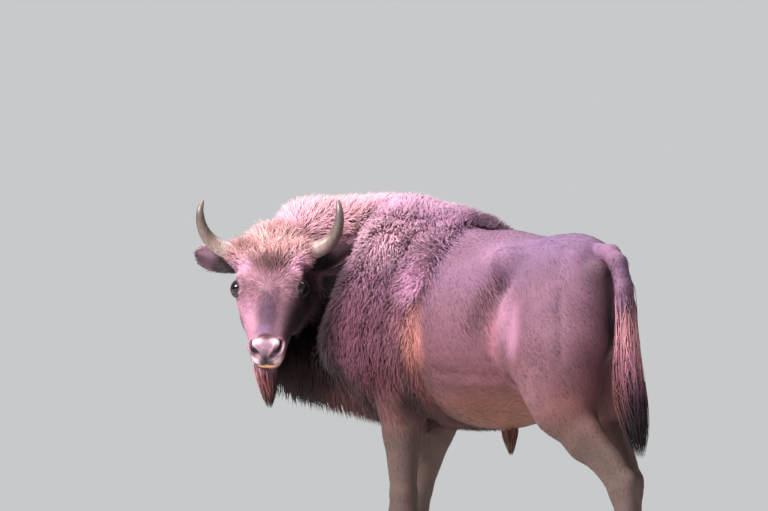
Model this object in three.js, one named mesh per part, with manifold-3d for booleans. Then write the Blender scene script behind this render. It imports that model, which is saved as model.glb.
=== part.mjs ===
// A life-size standing wisent (European bison), a young bull that looks back over its left shoulder.
//
// Frame: millimetres, +Z up, the floor at z = 0. The chest points along -X, so the animal's left is -Y.
// The body is one smooth field, the blend of lofted masses and tapered limbs, as muscles are laid over
// bones. Each named piece is the part of that field inside its own region, out to the tips of the coat,
// and neighbours are parted by thin flat cuts. Horns, eyes and hooves are solids of their own.
import * as THREE from "three";
import { mergeVertices } from "three/addons/utils/BufferGeometryUtils.js";
import Module from "manifold-3d";

const wasm = await Module();
wasm.setup();

// ---- driving dimensions -------------------------------------------------------------------------
const PELVIS_YAW = 9; // degrees by which the rump is turned to the right of the chest
const SPINE_BEND = [250, 600]; // the stretch of loin over which it turns
const CUT = 1; // width of the thin cut between neighbouring pieces
const HOOF_TOP = 78; // height of the top of each hoof
const BODY_CELL = 77; // size of the facets of the trunk and neck
const ORIGIN = [23, -159.5]; // the middle of the body's box, brought to the origin of the frame

const rad = (degrees) => (degrees * Math.PI) / 180;
const add = (a, b) => a.map((v, i) => v + b[i]);
const sub = (a, b) => a.map((v, i) => v - b[i]);
const scale = (a, s) => a.map((v) => v * s);
const dot = (a, b) => a[0] * b[0] + a[1] * b[1] + a[2] * b[2];
const cross = (a, b) => [a[1] * b[2] - a[2] * b[1], a[2] * b[0] - a[0] * b[2], a[0] * b[1] - a[1] * b[0]];
const norm = (a) => scale(a, 1 / Math.hypot(...a));
const mix = (a, b, t) => a + (b - a) * t;
const clamp = (v, lo, hi) => Math.min(Math.max(v, lo), hi);

// ---- the field ----------------------------------------------------------------------------------
// A mass is { lo, hi, k, dist(p) }: its box, its blending width and its distance to the coat's tips.

// A tapered limb from a to b. flat = [n, s] narrows it to s of its radius along the direction n.
function limb(a, b, ra, rb, { flat, k = 40, coat = 10 } = {}) {
  const big = Math.max(ra, rb);
  const n = flat ? norm(flat[0]) : [0, 0, 1];
  const s = flat ? (flat[1] * (ra + rb) * 0.5 + coat) / ((ra + rb) * 0.5 + coat) : 1;
  const squash = (v) => add(v, scale(n, dot(v, n) * (1 / s - 1)));
  const ab = squash(sub(b, a));
  const length2 = dot(ab, ab);
  const grow = big + coat + k;
  return {
    k,
    lo: a.map((v, i) => Math.min(v, b[i]) - grow),
    hi: a.map((v, i) => Math.max(v, b[i]) + grow),
    dist(p) {
      const q = squash(sub(p, a));
      const h = clamp(dot(q, ab) / length2, 0, 1);
      return (Math.hypot(q[0] - ab[0] * h, q[1] - ab[1] * h, q[2] - ab[2] * h) - mix(ra, rb, h) - coat) * s;
    },
  };
}

// An ellipsoid with radii r along its own axes, turned by yaw about Z and then tilted by pitch.
function blob(c, r, { yaw = 0, pitch = 0, k = 50, coat = 10 } = {}) {
  const [cy, sy, cp, sp] = [Math.cos(rad(yaw)), Math.sin(rad(yaw)), Math.cos(rad(pitch)), Math.sin(rad(pitch))];
  const axes = [[cy * cp, sy * cp, sp], [-sy, cy, 0], [-cy * sp, -sy * sp, cp]];
  const R = r.map((v) => v + coat);
  const grow = Math.max(...R) + k;
  return {
    k,
    lo: c.map((v) => v - grow),
    hi: c.map((v) => v + grow),
    dist(p) {
      const d = sub(p, c);
      const q = axes.map((axis, i) => dot(d, axis) / R[i]);
      const k0 = Math.hypot(...q);
      const k1 = Math.hypot(q[0] / R[0], q[1] / R[1], q[2] / R[2]);
      return k0 < 1e-6 ? -Math.min(...R) : (k0 * (k0 - 1)) / k1;
    },
  };
}

// Smooth value of a row of stations at x, as a Catmull-Rom curve through each column.
function sample(stations, x) {
  const last = stations.length - 1;
  let i = 0;
  while (i < last - 1 && x > stations[i + 1][0]) i++;
  const [p0, p1, p2, p3] = [stations[Math.max(i - 1, 0)], stations[i], stations[i + 1], stations[Math.min(i + 2, last)]];
  const t = clamp((x - p1[0]) / (p2[0] - p1[0]), 0, 1);
  return p1.map((v, c) => {
    const m1 = ((p2[c] - p0[c]) / (p2[0] - p0[0])) * (p2[0] - p1[0]);
    const m2 = ((p3[c] - p1[c]) / (p3[0] - p1[0])) * (p2[0] - p1[0]);
    const [t2, t3] = [t * t, t * t * t];
    return (2 * t3 - 3 * t2 + 1) * v + (t3 - 2 * t2 + t) * m1 + (3 * t2 - 2 * t3) * p2[c] + (t3 - t2) * m2;
  });
}

// A lofted mass along u of a frame. Each station is [u, top, middle, bottom, half width, upper power, coat].
function loft(stations, { to = (p) => p, end = 60, k = 60, lo, hi }) {
  const [first, final] = [stations[0][0], stations[stations.length - 1][0]];
  return {
    k,
    lo,
    hi,
    dist(p) {
      const [u, v, w] = to(p);
      const [, top, middle, bottom, half, power, coat] = sample(stations, clamp(u, first, final));
      const h = w > middle ? top - middle + coat : middle - bottom + coat;
      const n = w > middle ? power : 2.3;
      const wide = half + coat;
      const reach = Math.hypot(v, w - middle);
      const rho = (Math.abs(v / wide) ** n + Math.abs((w - middle) / h) ** n) ** (1 / n);
      const side = rho < 1e-6 ? -Math.min(wide, h) : reach * (1 - 1 / rho);
      const over = Math.max(first - u, u - final);
      return Math.hypot(Math.max(side + end, 0), Math.max(over + end, 0)) + Math.min(Math.max(side, over) + end, 0) - end;
    },
  };
}

const blend = (a, b, k) => {
  const h = Math.max(k - Math.abs(a - b), 0) / k;
  return Math.min(a, b) - (h * h * k) / 4;
};

function field(masses) {
  return (p) => {
    let d = 400;
    for (const m of masses) {
      if (p.some((v, i) => v < m.lo[i] || v > m.hi[i])) continue;
      d = blend(d, m.dist(p), m.k);
    }
    return d;
  };
}

// ---- the bend of the loin -----------------------------------------------------------------------
const [BEND_START, BEND_END] = SPINE_BEND;
const bendRadius = (BEND_END - BEND_START) / rad(PELVIS_YAW);

// From the body standing straight to the bent one, and back.
function bent([x, y, z]) {
  if (x <= BEND_START) return [x, y, z];
  const turn = (Math.min(x, BEND_END) - BEND_START) / bendRadius;
  const past = Math.max(x - BEND_END, 0);
  const cx = BEND_START + bendRadius * Math.sin(turn) + past * Math.cos(turn);
  const cy = bendRadius * (1 - Math.cos(turn)) + past * Math.sin(turn);
  return [cx - y * Math.sin(turn), cy + y * Math.cos(turn), z];
}
function straight([x, y, z]) {
  if (x <= BEND_START) return [x, y, z];
  const [dx, dy] = [x - BEND_START, bendRadius - y];
  const turn = Math.atan2(dx, dy);
  if (turn <= rad(PELVIS_YAW)) return [BEND_START + turn * bendRadius, bendRadius - Math.hypot(dx, dy), z];
  const [ex, ey] = [Math.cos(rad(PELVIS_YAW)), Math.sin(rad(PELVIS_YAW))];
  const [ox, oy] = bent([BEND_END, 0, 0]);
  return [BEND_END + (x - ox) * ex + (y - oy) * ey, -(x - ox) * ey + (y - oy) * ex, z];
}

// ---- trunk ---------------------------------------------------------------------------------------
const TRUNK = [
  // x, top, middle, bottom, half width, upper power, coat
  [-640, 1500, 1120, 900, 120, 1.7, 55],
  [-530, 1514, 1100, 835, 178, 1.6, 55],
  [-390, 1516, 1080, 812, 234, 1.5, 55],
  [-250, 1506, 1065, 806, 256, 1.5, 50],
  [-110, 1496, 1060, 786, 270, 1.6, 42],
  [30, 1477, 1060, 772, 282, 1.75, 30],
  [135, 1441, 1060, 766, 284, 1.9, 22],
  [240, 1436, 1070, 772, 274, 2.0, 18],
  [370, 1421, 1100, 818, 246, 2.1, 16],
  [500, 1412, 1140, 870, 212, 2.1, 15],
  [620, 1426, 1170, 940, 166, 2.0, 15],
  [720, 1400, 1190, 1020, 126, 2.0, 15],
  [775, 1345, 1200, 1080, 86, 2.0, 15],
];
const both = (make) => [-1, 1].flatMap((side) => make(side));

const trunk = [
  loft(TRUNK, { to: straight, k: 40, lo: [-760, -520, 600], hi: [980, 560, 1700] }),
  ...both((s) => [
    limb([-400, s * 80, 1380], [-560, s * 165, 1060], 85, 105, { k: 100, coat: 35 }), // shoulder blade
    blob([-400, s * 160, 1080], [150, 95, 200], { pitch: 20, k: 100, coat: 30 }), // upper arm
    blob(bent([470, s * 178, 1332]), [55, 34, 42], { yaw: PELVIS_YAW, k: 80, coat: 12 }), // point of the hip
  ]),
  // Croup, buttock and hamstring of each side. The right ones are drawn flat by the leg that stands forward.
  blob(bent([610, -86, 1205]), [180, 92, 168], { yaw: PELVIS_YAW, k: 70, coat: 14 }),
  blob(bent([592, 72, 1205]), [180, 92, 168], { yaw: PELVIS_YAW, k: 70, coat: 14 }),
  limb(bent([772, -58, 1270]), bent([775, -68, 1080]), 44, 54, { k: 80, coat: 14 }),
  limb(bent([750, 40, 1270]), bent([748, 46, 1080]), 42, 50, { k: 80, coat: 14 }),
  limb(bent([775, -68, 1080]), [784, -44, 826], 50, 42, { k: 60, coat: 12 }),
  limb(bent([748, 46, 1080]), [640, 150, 850], 48, 44, { k: 60, coat: 12 }),
  limb([-640, -10, 1010], [-440, 0, 905], 140, 110, { k: 110, coat: 55 }), // brisket
  limb(bent([600, 0, 950]), bent([590, 0, 862]), 40, 36, { k: 40, coat: 6 }), // between the thighs
];

// ---- neck ----------------------------------------------------------------------------------------
// The neck swings round to the left: [place, depth radius, narrowing across, coat].
const NECK = [
  [[-500, 0, 1245], 258, 0.66, 55],
  [[-688, -4, 1262], 232, 0.54, 58],
  [[-804, -86, 1282], 204, 0.56, 56],
  [[-834, -186, 1288], 180, 0.62, 50],
  [[-824, -276, 1278], 136, 0.8, 42],
];
const neck = [
  ...NECK.slice(1).map(([b, rb, sb, coat], i) => {
    const [a, ra, sa] = NECK[i];
    const along = norm(sub(b, a));
    return limb(a, b, ra, rb, { flat: [cross(along, [0, 0, 1]), (sa + sb) / 2], k: 80, coat });
  }),
  limb([-806, -286, 990], [-660, -50, 922], 52, 62, { k: 90, coat: 88 }), // hair of the throat
  limb([-842, -206, 1452], [-640, -30, 1450], 44, 52, { k: 70, coat: 62 }), // crest of the neck
];

// ---- legs ----------------------------------------------------------------------------------------
// Each leg is a chain of [place, radius, narrowing across, coat], from the body down to the fetlock.
const LEGS = {
  front_left: {
    toe: [-256, -165],
    chain: [
      [[-300, -160, 1000], 120, 0.72, 30],
      [[-195, -182, 880], 84, 0.74, 24],
      [[-205, -178, 740], 68, 0.78, 16],
      [[-205, -172, 520], 44, 0.95, 9],
      [[-206, -170, 455], 46, 0.95, 7],
      [[-206, -168, 385], 33, 0.95, 6],
      [[-200, -166, 235], 31, 0.95, 6],
      [[-204, -165, 165], 38, 1.1, 6],
      [[-232, -165, 90], 40, 1.05, 6],
    ],
  },
  front_right: {
    toe: [-778, 108],
    chain: [
      [[-440, 160, 1000], 120, 0.72, 30],
      [[-455, 165, 880], 84, 0.74, 24],
      [[-515, 140, 740], 66, 0.78, 16],
      [[-598, 120, 525], 44, 0.95, 9],
      [[-622, 116, 460], 46, 0.95, 7],
      [[-646, 114, 390], 33, 0.95, 6],
      [[-700, 110, 235], 31, 0.95, 6],
      [[-722, 108, 165], 38, 1.1, 6],
      [[-756, 108, 90], 40, 1.05, 6],
    ],
  },
  hind_left: {
    toe: [985, 12],
    chain: [
      [[655, -70, 1120], 145, 0.66, 14],
      [[665, -84, 960], 138, 0.66, 14],
      [[692, -80, 850], 100, 0.72, 12],
      [[792, -46, 745], 76, 0.62, 10],
      [[910, -8, 640], 52, 0.6, 8],
      [[964, 4, 565], 54, 0.62, 7],
      [[986, 8, 485], 40, 0.75, 6],
      [[1030, 12, 240], 34, 0.9, 6],
      [[1036, 12, 165], 39, 1.1, 6],
      [[1008, 12, 90], 40, 1.05, 6],
    ],
  },
  hind_right: {
    toe: [640, 172],
    chain: [
      [[590, 122, 1120], 136, 0.64, 14],
      [[550, 138, 960], 130, 0.64, 14],
      [[540, 152, 850], 98, 0.72, 12],
      [[612, 162, 740], 76, 0.62, 10],
      [[692, 172, 635], 50, 0.6, 8],
      [[728, 172, 560], 54, 0.62, 7],
      [[728, 172, 480], 40, 0.75, 6],
      [[702, 172, 240], 34, 0.9, 6],
      [[692, 172, 165], 39, 1.1, 6],
      [[662, 172, 90], 40, 1.05, 6],
    ],
  },
};

const legs = Object.fromEntries(
  Object.entries(LEGS).map(([name, { chain }]) => [
    name,
    chain.slice(1).map(([b, rb, sb, coat], i) => {
      const [a, ra, sa] = chain[i];
      return limb(a, b, ra, rb, { flat: [[0, 1, 0], (sa + sb) / 2], k: i < 2 ? 70 : 22, coat });
    }),
  ]),
);

// ---- head ----------------------------------------------------------------------------------------
// The head's own frame: f runs down the face from poll to muzzle, l to the head's left, u out of the
// forehead. Its origin lies between the eyes.
const HEAD = { eyes: [-700, -435, 1243], yaw: -36, pitch: -57, roll: -0.5 };
const faceFlat = [Math.cos(rad(HEAD.yaw)), Math.sin(rad(HEAD.yaw)), 0];
const F = [faceFlat[0] * Math.cos(rad(HEAD.pitch)), faceFlat[1] * Math.cos(rad(HEAD.pitch)), Math.sin(rad(HEAD.pitch))];
const level = cross([0, 0, 1], faceFlat);
const upward = cross(F, level);
const L = add(scale(level, Math.cos(rad(HEAD.roll))), scale(upward, -Math.sin(rad(HEAD.roll))));
const U = cross(F, L);
const onHead = ([f, l, u]) => add(add(add(HEAD.eyes, scale(F, f)), scale(L, l)), scale(U, u));
const toHead = (p) => {
  const d = sub(p, HEAD.eyes);
  return [dot(d, F), dot(d, L), dot(d, U)];
};

const SKULL = [
  // f, top, middle, bottom, half width, upper power, coat
  [-205, -14, -60, -130, 84, 2.0, 34],
  [-130, 18, -62, -180, 114, 2.2, 36],
  [-60, 24, -70, -205, 120, 2.3, 22],
  [0, 14, -72, -205, 116, 2.4, 8],
  [60, 1, -72, -188, 105, 2.3, 6],
  [125, -5, -72, -160, 86, 2.2, 5],
  [185, -11, -70, -144, 71, 2.2, 3],
  [228, -22, -72, -140, 66, 2.2, 2],
  [256, -46, -84, -130, 52, 2.2, 1],
];

// ---- surfaces ------------------------------------------------------------------------------------
// Surface nets: one vertex in each cell that the surface crosses, then moved onto the field's zero.
function surface(f, lo, hi, cell) {
  const n = lo.map((v, i) => Math.ceil((hi[i] - v) / cell) + 1);
  const at = (i, j, k) => (k * n[1] + j) * n[0] + i;
  const value = new Float32Array(n[0] * n[1] * n[2]).fill(1);
  for (let k = 1; k < n[2] - 1; k++)
    for (let j = 1; j < n[1] - 1; j++)
      for (let i = 1; i < n[0] - 1; i++) value[at(i, j, k)] = f([lo[0] + i * cell, lo[1] + j * cell, lo[2] + k * cell]);
  const corners = [0, 1, 2, 3, 4, 5, 6, 7].map((c) => [c & 1, (c >> 1) & 1, (c >> 2) & 1]);
  const edges = [[0, 1], [2, 3], [4, 5], [6, 7], [0, 2], [1, 3], [4, 6], [5, 7], [0, 4], [1, 5], [2, 6], [3, 7]];
  const index = new Map();
  const vertices = [];
  for (let k = 0; k < n[2] - 1; k++)
    for (let j = 0; j < n[1] - 1; j++)
      for (let i = 0; i < n[0] - 1; i++) {
        const v = corners.map(([a, b, c]) => value[at(i + a, j + b, k + c)]);
        const crossed = edges.filter(([a, b]) => v[a] < 0 !== v[b] < 0);
        if (!crossed.length) continue;
        let sum = [0, 0, 0];
        for (const [a, b] of crossed) {
          const t = v[a] / (v[a] - v[b]);
          sum = add(sum, corners[a].map((q, c) => mix(q, corners[b][c], t)));
        }
        index.set(at(i, j, k), vertices.length);
        const start = [i, j, k].map((o, c) => lo[c] + (o + sum[c] / crossed.length) * cell);
        const rim = [i, j, k].some((o, c) => o === 0 || o >= n[c] - 2);
        vertices.push(rim ? start : settle(f, start, cell * 0.35));
      }
  const faces = [];
  const step = [at(1, 0, 0), at(0, 1, 0), at(0, 0, 1)];
  for (let k = 1; k < n[2] - 1; k++)
    for (let j = 1; j < n[1] - 1; j++)
      for (let i = 1; i < n[0] - 1; i++) {
        const here = at(i, j, k);
        for (let c = 0; c < 3; c++) {
          for (const [from, to] of [[here, here + step[c]], [here - step[c], here]]) {
            if (to !== here + step[c] && [i, j, k][c] !== 1) continue;
            const inside = value[from] < 0;
            if (inside === value[to] < 0) continue;
            const [s, t] = [step[(c + 1) % 3], step[(c + 2) % 3]];
            const q = [from - s - t, from - t, from, from - s].map((e) => index.get(e));
            if (!inside) q.reverse();
            faces.push([q[0], q[1], q[2]], [q[0], q[2], q[3]]);
          }
        }
      }
  return solid(vertices, faces);
}

// Two damped Newton steps that bring a point onto the zero of f.
function settle(f, p, most) {
  for (let turn = 0; turn < 2; turn++) {
    const d = f(p);
    const g = [0, 1, 2].map((c) => (f(p.map((v, i) => v + (i === c ? 1 : 0))) - f(p.map((v, i) => v - (i === c ? 1 : 0)))) / 2);
    const steep = Math.max(dot(g, g), 0.25);
    p = sub(p, scale(g, clamp(d, -most, most) / steep));
  }
  return p;
}

function solid(vertices, faces) {
  const mesh = new wasm.Mesh({
    numProp: 3,
    vertProperties: new Float32Array(vertices.flat()),
    triVerts: new Uint32Array(faces.flat()),
  });
  return new wasm.Manifold(mesh);
}

// A closed tube of elliptic rings. Each row is [centre, half width along side, half depth, side?].
function tube(rows, { side = [0, 1, 0], count = 10, grow = 0 } = {}) {
  const vertices = [];
  const faces = [];
  rows.forEach(([c, w, h, own], i) => {
    const before = rows[Math.max(i - 1, 0)][0];
    const after = rows[Math.min(i + 1, rows.length - 1)][0];
    const along = norm(sub(after, before));
    const raw = own ?? side;
    const across = norm(sub(raw, scale(along, dot(raw, along))));
    const up = cross(along, across);
    const ends = i === 0 ? -grow : i === rows.length - 1 ? grow : 0;
    for (let j = 0; j < count; j++) {
      const a = (2 * Math.PI * j) / count;
      const ring = add(scale(across, Math.cos(a) * (w + grow)), scale(up, Math.sin(a) * (h + grow)));
      vertices.push(add(add(c, ring), scale(along, ends)));
    }
  });
  const ring = (i, j) => i * count + (j % count);
  for (let i = 0; i < rows.length - 1; i++)
    for (let j = 0; j < count; j++) {
      faces.push([ring(i, j), ring(i, j + 1), ring(i + 1, j + 1)], [ring(i, j), ring(i + 1, j + 1), ring(i + 1, j)]);
    }
  for (let j = 1; j < count - 1; j++) {
    faces.push([ring(0, 0), ring(0, j + 1), ring(0, j)]);
    faces.push([ring(rows.length - 1, 0), ring(rows.length - 1, j), ring(rows.length - 1, j + 1)]);
  }
  return solid(vertices, faces);
}

// The solid of a row of stations, as rings of a superellipse, shrunk over the last `end` at both ends.
function loftSolid(stations, { from, ends, rings = 13, count = 16, grow = 0 }) {
  const [u0, u1] = [stations[0][0] - ends[0] - grow, stations[stations.length - 1][0] + ends[1] + grow];
  const vertices = [];
  const faces = [];
  for (let i = 0; i <= rings; i++) {
    const t = i / rings;
    const u = mix(u0, u1, 0.5 - 0.5 * Math.cos(Math.PI * mix(0.04, 0.96, t)));
    const [, top, middle, bottom, half, power, coat] = sample(stations, clamp(u, stations[0][0], stations[stations.length - 1][0]));
    const over = Math.max((stations[0][0] - u) / (ends[0] + grow), (u - stations[stations.length - 1][0]) / (ends[1] + grow), 0);
    const shrink = Math.sqrt(Math.max(1 - over * over, 0));
    for (let j = 0; j < count; j++) {
      const a = (2 * Math.PI * (j + 0.5)) / count;
      const [c, s] = [Math.cos(a), Math.sin(a)];
      const n = 2 / (s > 0 ? power : 2.3);
      const reach = (s > 0 ? top - middle : middle - bottom) + coat + grow;
      const across = Math.sign(c) * Math.abs(c) ** n * (half + coat + grow) * shrink;
      vertices.push(from([u, across, middle + Math.sign(s) * Math.abs(s) ** n * reach * shrink]));
    }
  }
  const at = (i, j) => i * count + (j % count);
  for (let i = 0; i < rings; i++)
    for (let j = 0; j < count; j++) {
      faces.push([at(i, j), at(i, j + 1), at(i + 1, j + 1)], [at(i, j), at(i + 1, j + 1), at(i + 1, j)]);
    }
  for (let j = 1; j < count - 1; j++) {
    faces.push([at(0, 0), at(0, j + 1), at(0, j)], [at(rings, 0), at(rings, j), at(rings, j + 1)]);
  }
  return solid(vertices, faces);
}

// Smooth rows through control rows, `steps` to each span.
function smooth(rows, steps) {
  const flat = rows.map((row, i) => [i, ...row.flat()]);
  const out = [];
  for (let i = 0; i <= (rows.length - 1) * steps; i++) {
    const [, x, y, z, ...rest] = sample(flat, i / steps);
    out.push([[x, y, z], ...rest]);
  }
  return out;
}

// Keeps the part on the side that the normal points to, half a cut's width clear of the plane.
const keep = (s, point, normal) => s.trimByPlane(norm(normal), dot(point, norm(normal)) + CUT / 2);
const largest = (s) => s.decompose().reduce((a, b) => (b.volume() > a.volume() ? b : a));

// ---- pieces ---------------------------------------------------------------------------------------
const pieces = {};
const up = [0, 0, 1];
const down = [0, 0, -1];

// Trunk: neck, forequarters, barrel, rump and thighs, cut from one surface.
const allLegs = Object.values(legs).flat();
const body = surface(field([...trunk, ...neck, ...allLegs]), [-1170, -620, 620], [1190, 520, 1720], BODY_CELL);
const neckPlane = [[-610, -10, 1200], [-0.96, -0.24, 0.16]];
const barrelPlane = [[-30, 0, 1100], [1, 0, 0.08]];
const rumpPlane = [bent([400, 0, 1100]), [Math.cos(rad(PELVIS_YAW / 2)), Math.sin(rad(PELVIS_YAW / 2)), 0.06]];
const midPlane = [bent([700, 0, 0]), [Math.sin(rad(PELVIS_YAW)), -Math.cos(rad(PELVIS_YAW)), 0]];
const flip = ([point, normal]) => [point, scale(normal, -1)];
const FORELEG_TOP = 736;
const THIGH_FOOT = 780;
const THIGH_TOP = 1050;

// The skull with the curly hair of the poll and the eye sockets, and the room it takes up in the neck.
const FORELOCK = [
  [onHead([-268, 0, -26]), 40, 24],
  [onHead([-250, 0, -22]), 92, 52],
  [onHead([-205, 0, -14]), 122, 68],
  [onHead([-150, 0, -10]), 128, 70],
  [onHead([-90, 0, -20]), 118, 60],
  [onHead([-50, 0, -30]), 90, 40],
];
const socket = (s, grow) =>
  tube(
    [
      [onHead([-8, s * 60, -24]), 58, 50],
      [onHead([-8, s * 96, -20]), 48, 42],
      [onHead([-9, s * 118, -19]), 34, 32],
    ],
    { side: F, count: 8, grow },
  );
const hornBoss = (s, grow) =>
  tube(
    [
      [onHead([-118, s * 66, -24]), 56, 56],
      [onHead([-140, s * 114, 0]), 49, 49],
    ],
    { side: F, count: 8, grow },
  );
const skull = (grow) =>
  loftSolid(SKULL, { from: onHead, ends: [34, 14], grow })
    .add(tube(FORELOCK, { side: L, count: 12, grow }))
    .add(socket(-1, grow))
    .add(socket(1, grow))
    .add(hornBoss(-1, grow))
    .add(hornBoss(1, grow));
const headSolid = skull(0);
const headRoom = skull(CUT);

const behindNeck = keep(body, ...flip(neckPlane));
pieces.neck = largest(keep(body, ...neckPlane).subtract(headRoom));
pieces.forequarters = keep(keep(behindNeck, ...flip(barrelPlane)), [0, 0, FORELEG_TOP], up);
const middle = keep(keep(behindNeck, ...barrelPlane), [0, 0, 700], up);
pieces.barrel = largest(keep(middle, ...flip(rumpPlane)));
const hind = keep(keep(middle, ...rumpPlane), [0, 0, THIGH_FOOT], up);
pieces.rump = keep(hind, [0, 0, THIGH_TOP], up);
const thighs = keep(hind, [0, 0, THIGH_TOP], down);
pieces.thigh_left = largest(keep(thighs, ...midPlane));
pieces.thigh_right = largest(keep(thighs, ...flip(midPlane)));

// Legs below the trunk.
const LEG_CUTS = {
  front: { top: FORELEG_TOP, parts: [["forearm", 418], ["cannon", 200], ["pastern", HOOF_TOP]] },
  hind: { top: THIGH_FOOT, parts: [["shank", 500], ["cannon", 200], ["pastern", HOOF_TOP]] },
};
for (const [name, { toe, chain }] of Object.entries(LEGS)) {
  const { top, parts } = LEG_CUTS[name.split("_")[0]];
  const rows = chain.map(([c, r, s, coat]) => [c, r * s + coat, r + coat]);
  const whole = tube(smooth([...rows, [[toe[0] + 16, toe[1], 40], 46, 44]], 2), { count: 10 });
  const [fx, fy] = chain[chain.length - 2][0];
  const dewclaw = (s, grow) =>
    tube(
      [
        [[fx + 12, fy + s * 14, 170], 13, 14],
        [[fx + 42, fy + s * 20, 148], 17, 16],
        [[fx + 52, fy + s * 23, 122], 9, 8],
      ],
      { grow, count: 6 },
    );
  let ceiling = top;
  for (const [part, floor] of parts) {
    let piece = keep(keep(whole, [0, 0, ceiling], down), [0, 0, floor], up);
    if (part === "pastern") piece = piece.subtract(dewclaw(-1, 0.6)).subtract(dewclaw(1, 0.6));
    pieces[`${name}_${part}`] = largest(piece);
    ceiling = floor;
  }
  pieces[`${name}_dewclaw_left`] = dewclaw(-1, 0);
  pieces[`${name}_dewclaw_right`] = dewclaw(1, 0);
  Object.assign(pieces, foot(name, toe, name.startsWith("front") ? [122, 54] : [114, 50]));
}

// Two claws on a flat sole. The wall slopes back from the toe at 57 degrees.
function foot(name, [x, y], [long, wide]) {
  const out = {};
  for (const [which, s] of [["left", -1], ["right", 1]]) {
    const rings = [
      [0, 1],
      [24, 1],
      [HOOF_TOP - 6, 0.86],
      [HOOF_TOP, 0.8],
    ].map(([z, swell]) => {
      const front = x - long / 2 + z / Math.tan(rad(57));
      const back = x + long / 2 + z * 0.12;
      const points = [];
      for (let j = 0; j < 14; j++) {
        const a = (2 * Math.PI * (j + 0.5)) / 14;
        const u = (1 - Math.cos(a)) / 2; // 0 at the toe, 1 at the heel
        const bow = Math.sin(a) > 0 ? Math.sin(a) ** 0.7 * wide * swell * (0.8 + 0.2 * u) : 0;
        points.push([mix(front, back, u), y + s * (4 + bow), z]);
      }
      return points;
    });
    out[`${name}_hoof_${which}`] = clawSolid(rings, s);
  }
  return out;
}

// Joins rings of points into one closed convex-ringed solid.
function clawSolid(rings, s) {
  const kept = rings.map((ring) => {
    const outer = ring.filter((_, j) => j < 7);
    const ends = [outer[0], outer[outer.length - 1]];
    return [...outer, [ends[1][0] - 4, ring[10][1], ends[1][2]], [ends[0][0] + 4, ring[10][1], ends[0][2]]];
  });
  const n = kept[0].length;
  const vertices = kept.flat();
  const faces = [];
  const at = (i, j) => i * n + (j % n);
  for (let i = 0; i < kept.length - 1; i++)
    for (let j = 0; j < n; j++) {
      faces.push([at(i, j), at(i, j + 1), at(i + 1, j + 1)], [at(i, j), at(i + 1, j + 1), at(i + 1, j)]);
    }
  for (let j = 1; j < n - 1; j++) {
    faces.push([at(0, 0), at(0, j + 1), at(0, j)], [at(kept.length - 1, 0), at(kept.length - 1, j), at(kept.length - 1, j + 1)]);
  }
  // The rings run one way round on the left claw and the other way on the right.
  return solid(vertices, s > 0 ? faces.map((f) => [...f].reverse()) : faces);
}

// Horns, ears and eyes, given on the head's left and mirrored to its right: [f, l, u], radii.
const HORN = [
  [[-134, 92, -4], 33, 33],
  [[-147, 142, 8], 32.5, 32.5],
  [[-160, 190, 24], 29.5, 29.5],
  [[-180, 224, 50], 25, 25],
  [[-206, 244, 88], 19.5, 19.5],
  [[-242, 249, 124], 13.5, 13.5],
  [[-288, 240, 138], 5, 5],
];
const EAR = [
  [[-128, 112, -64], 22, 15],
  [[-137, 155, -58], 36, 20],
  [[-149, 205, -46], 47, 22],
  [[-160, 244, -36], 42, 17],
  [[-167, 278, -30], 15, 7],
];
const EAR_TURN = 28; // how much further forward the tip of the left ear is held
const EYE = { at: [-9, 110, -18], radius: 28 };
const EAR_WIDE = add(scale(F, -0.839), scale(U, 0.545)); // the ears are widest along this

const mirrored = (rows, s) => rows.map(([c, ...rest]) => [onHead([c[0], s * c[1], c[2]]), ...rest]);
const sphere = (grow) => {
  const rows = [];
  for (let i = 0; i <= 6; i++) {
    const a = mix(0.2, Math.PI - 0.2, i / 6);
    rows.push([[0, 0, -Math.cos(a)], Math.sin(a), Math.sin(a)]);
  }
  return (c, r) => tube(rows.map(([q, w]) => [add(c, scale(q, r + grow)), w * (r + grow), w * (r + grow)]), { count: 10 });
};
let head = headSolid;
let mane = pieces.neck;
for (const [side, s] of [["left", 1], ["right", -1]]) {
  const horn = (grow) => tube(smooth(mirrored(HORN, s), 2), { side: U, count: 8, grow });
  const turned = EAR.map(([[f, l, u], ...half], i) => [[f, l, u + (s > 0 ? (EAR_TURN * i) / (EAR.length - 1) : 0)], ...half]);
  const ear = (grow) => tube(smooth(mirrored(turned, s), 2), { side: EAR_WIDE, count: 8, grow });
  const eye = (grow) => sphere(grow)(onHead([EYE.at[0], s * EYE.at[1], EYE.at[2]]), EYE.radius);
  pieces[`horn_${side}`] = horn(0);
  pieces[`ear_${side}`] = largest(ear(0).subtract(horn(0.5)));
  pieces[`eye_${side}`] = eye(0);
  head = head.subtract(horn(0.5)).subtract(ear(0.5)).subtract(eye(0.5));
  mane = mane.subtract(horn(0.5)).subtract(ear(0.5));
}
pieces.neck = largest(mane);

// Beard, lower jaw and muzzle.
const chin = onHead([192, 0, -140]);
const beardRows = [
  [add(chin, [0, 0, 12]), 34, 46],
  [add(chin, [0, -14, -30]), 42, 46],
  [add(chin, [10, -18, -75]), 38, 41],
  [add(chin, [20, -18, -118]), 31, 34],
  [add(chin, [26, -20, -162]), 20, 22],
];
const beard = (grow) => tube(smooth(beardRows, 2), { side: L, count: 8, grow });
pieces.beard = beard(0);
pieces.neck = largest(pieces.neck.subtract(beard(0.5)));
head = head.subtract(beard(0.5));
const jawPlane = [onHead([-40, 0, -141]), add(scale(F, 0.157), scale(U, -0.988))];
pieces.lower_jaw = largest(keep(head, ...jawPlane));
const upper = keep(head, ...flip(jawPlane));
const nosePlane = [onHead([178, 0, 0]), F];
pieces.muzzle = largest(keep(upper, ...nosePlane));
pieces.head = largest(keep(upper, ...flip(nosePlane)));

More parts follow.
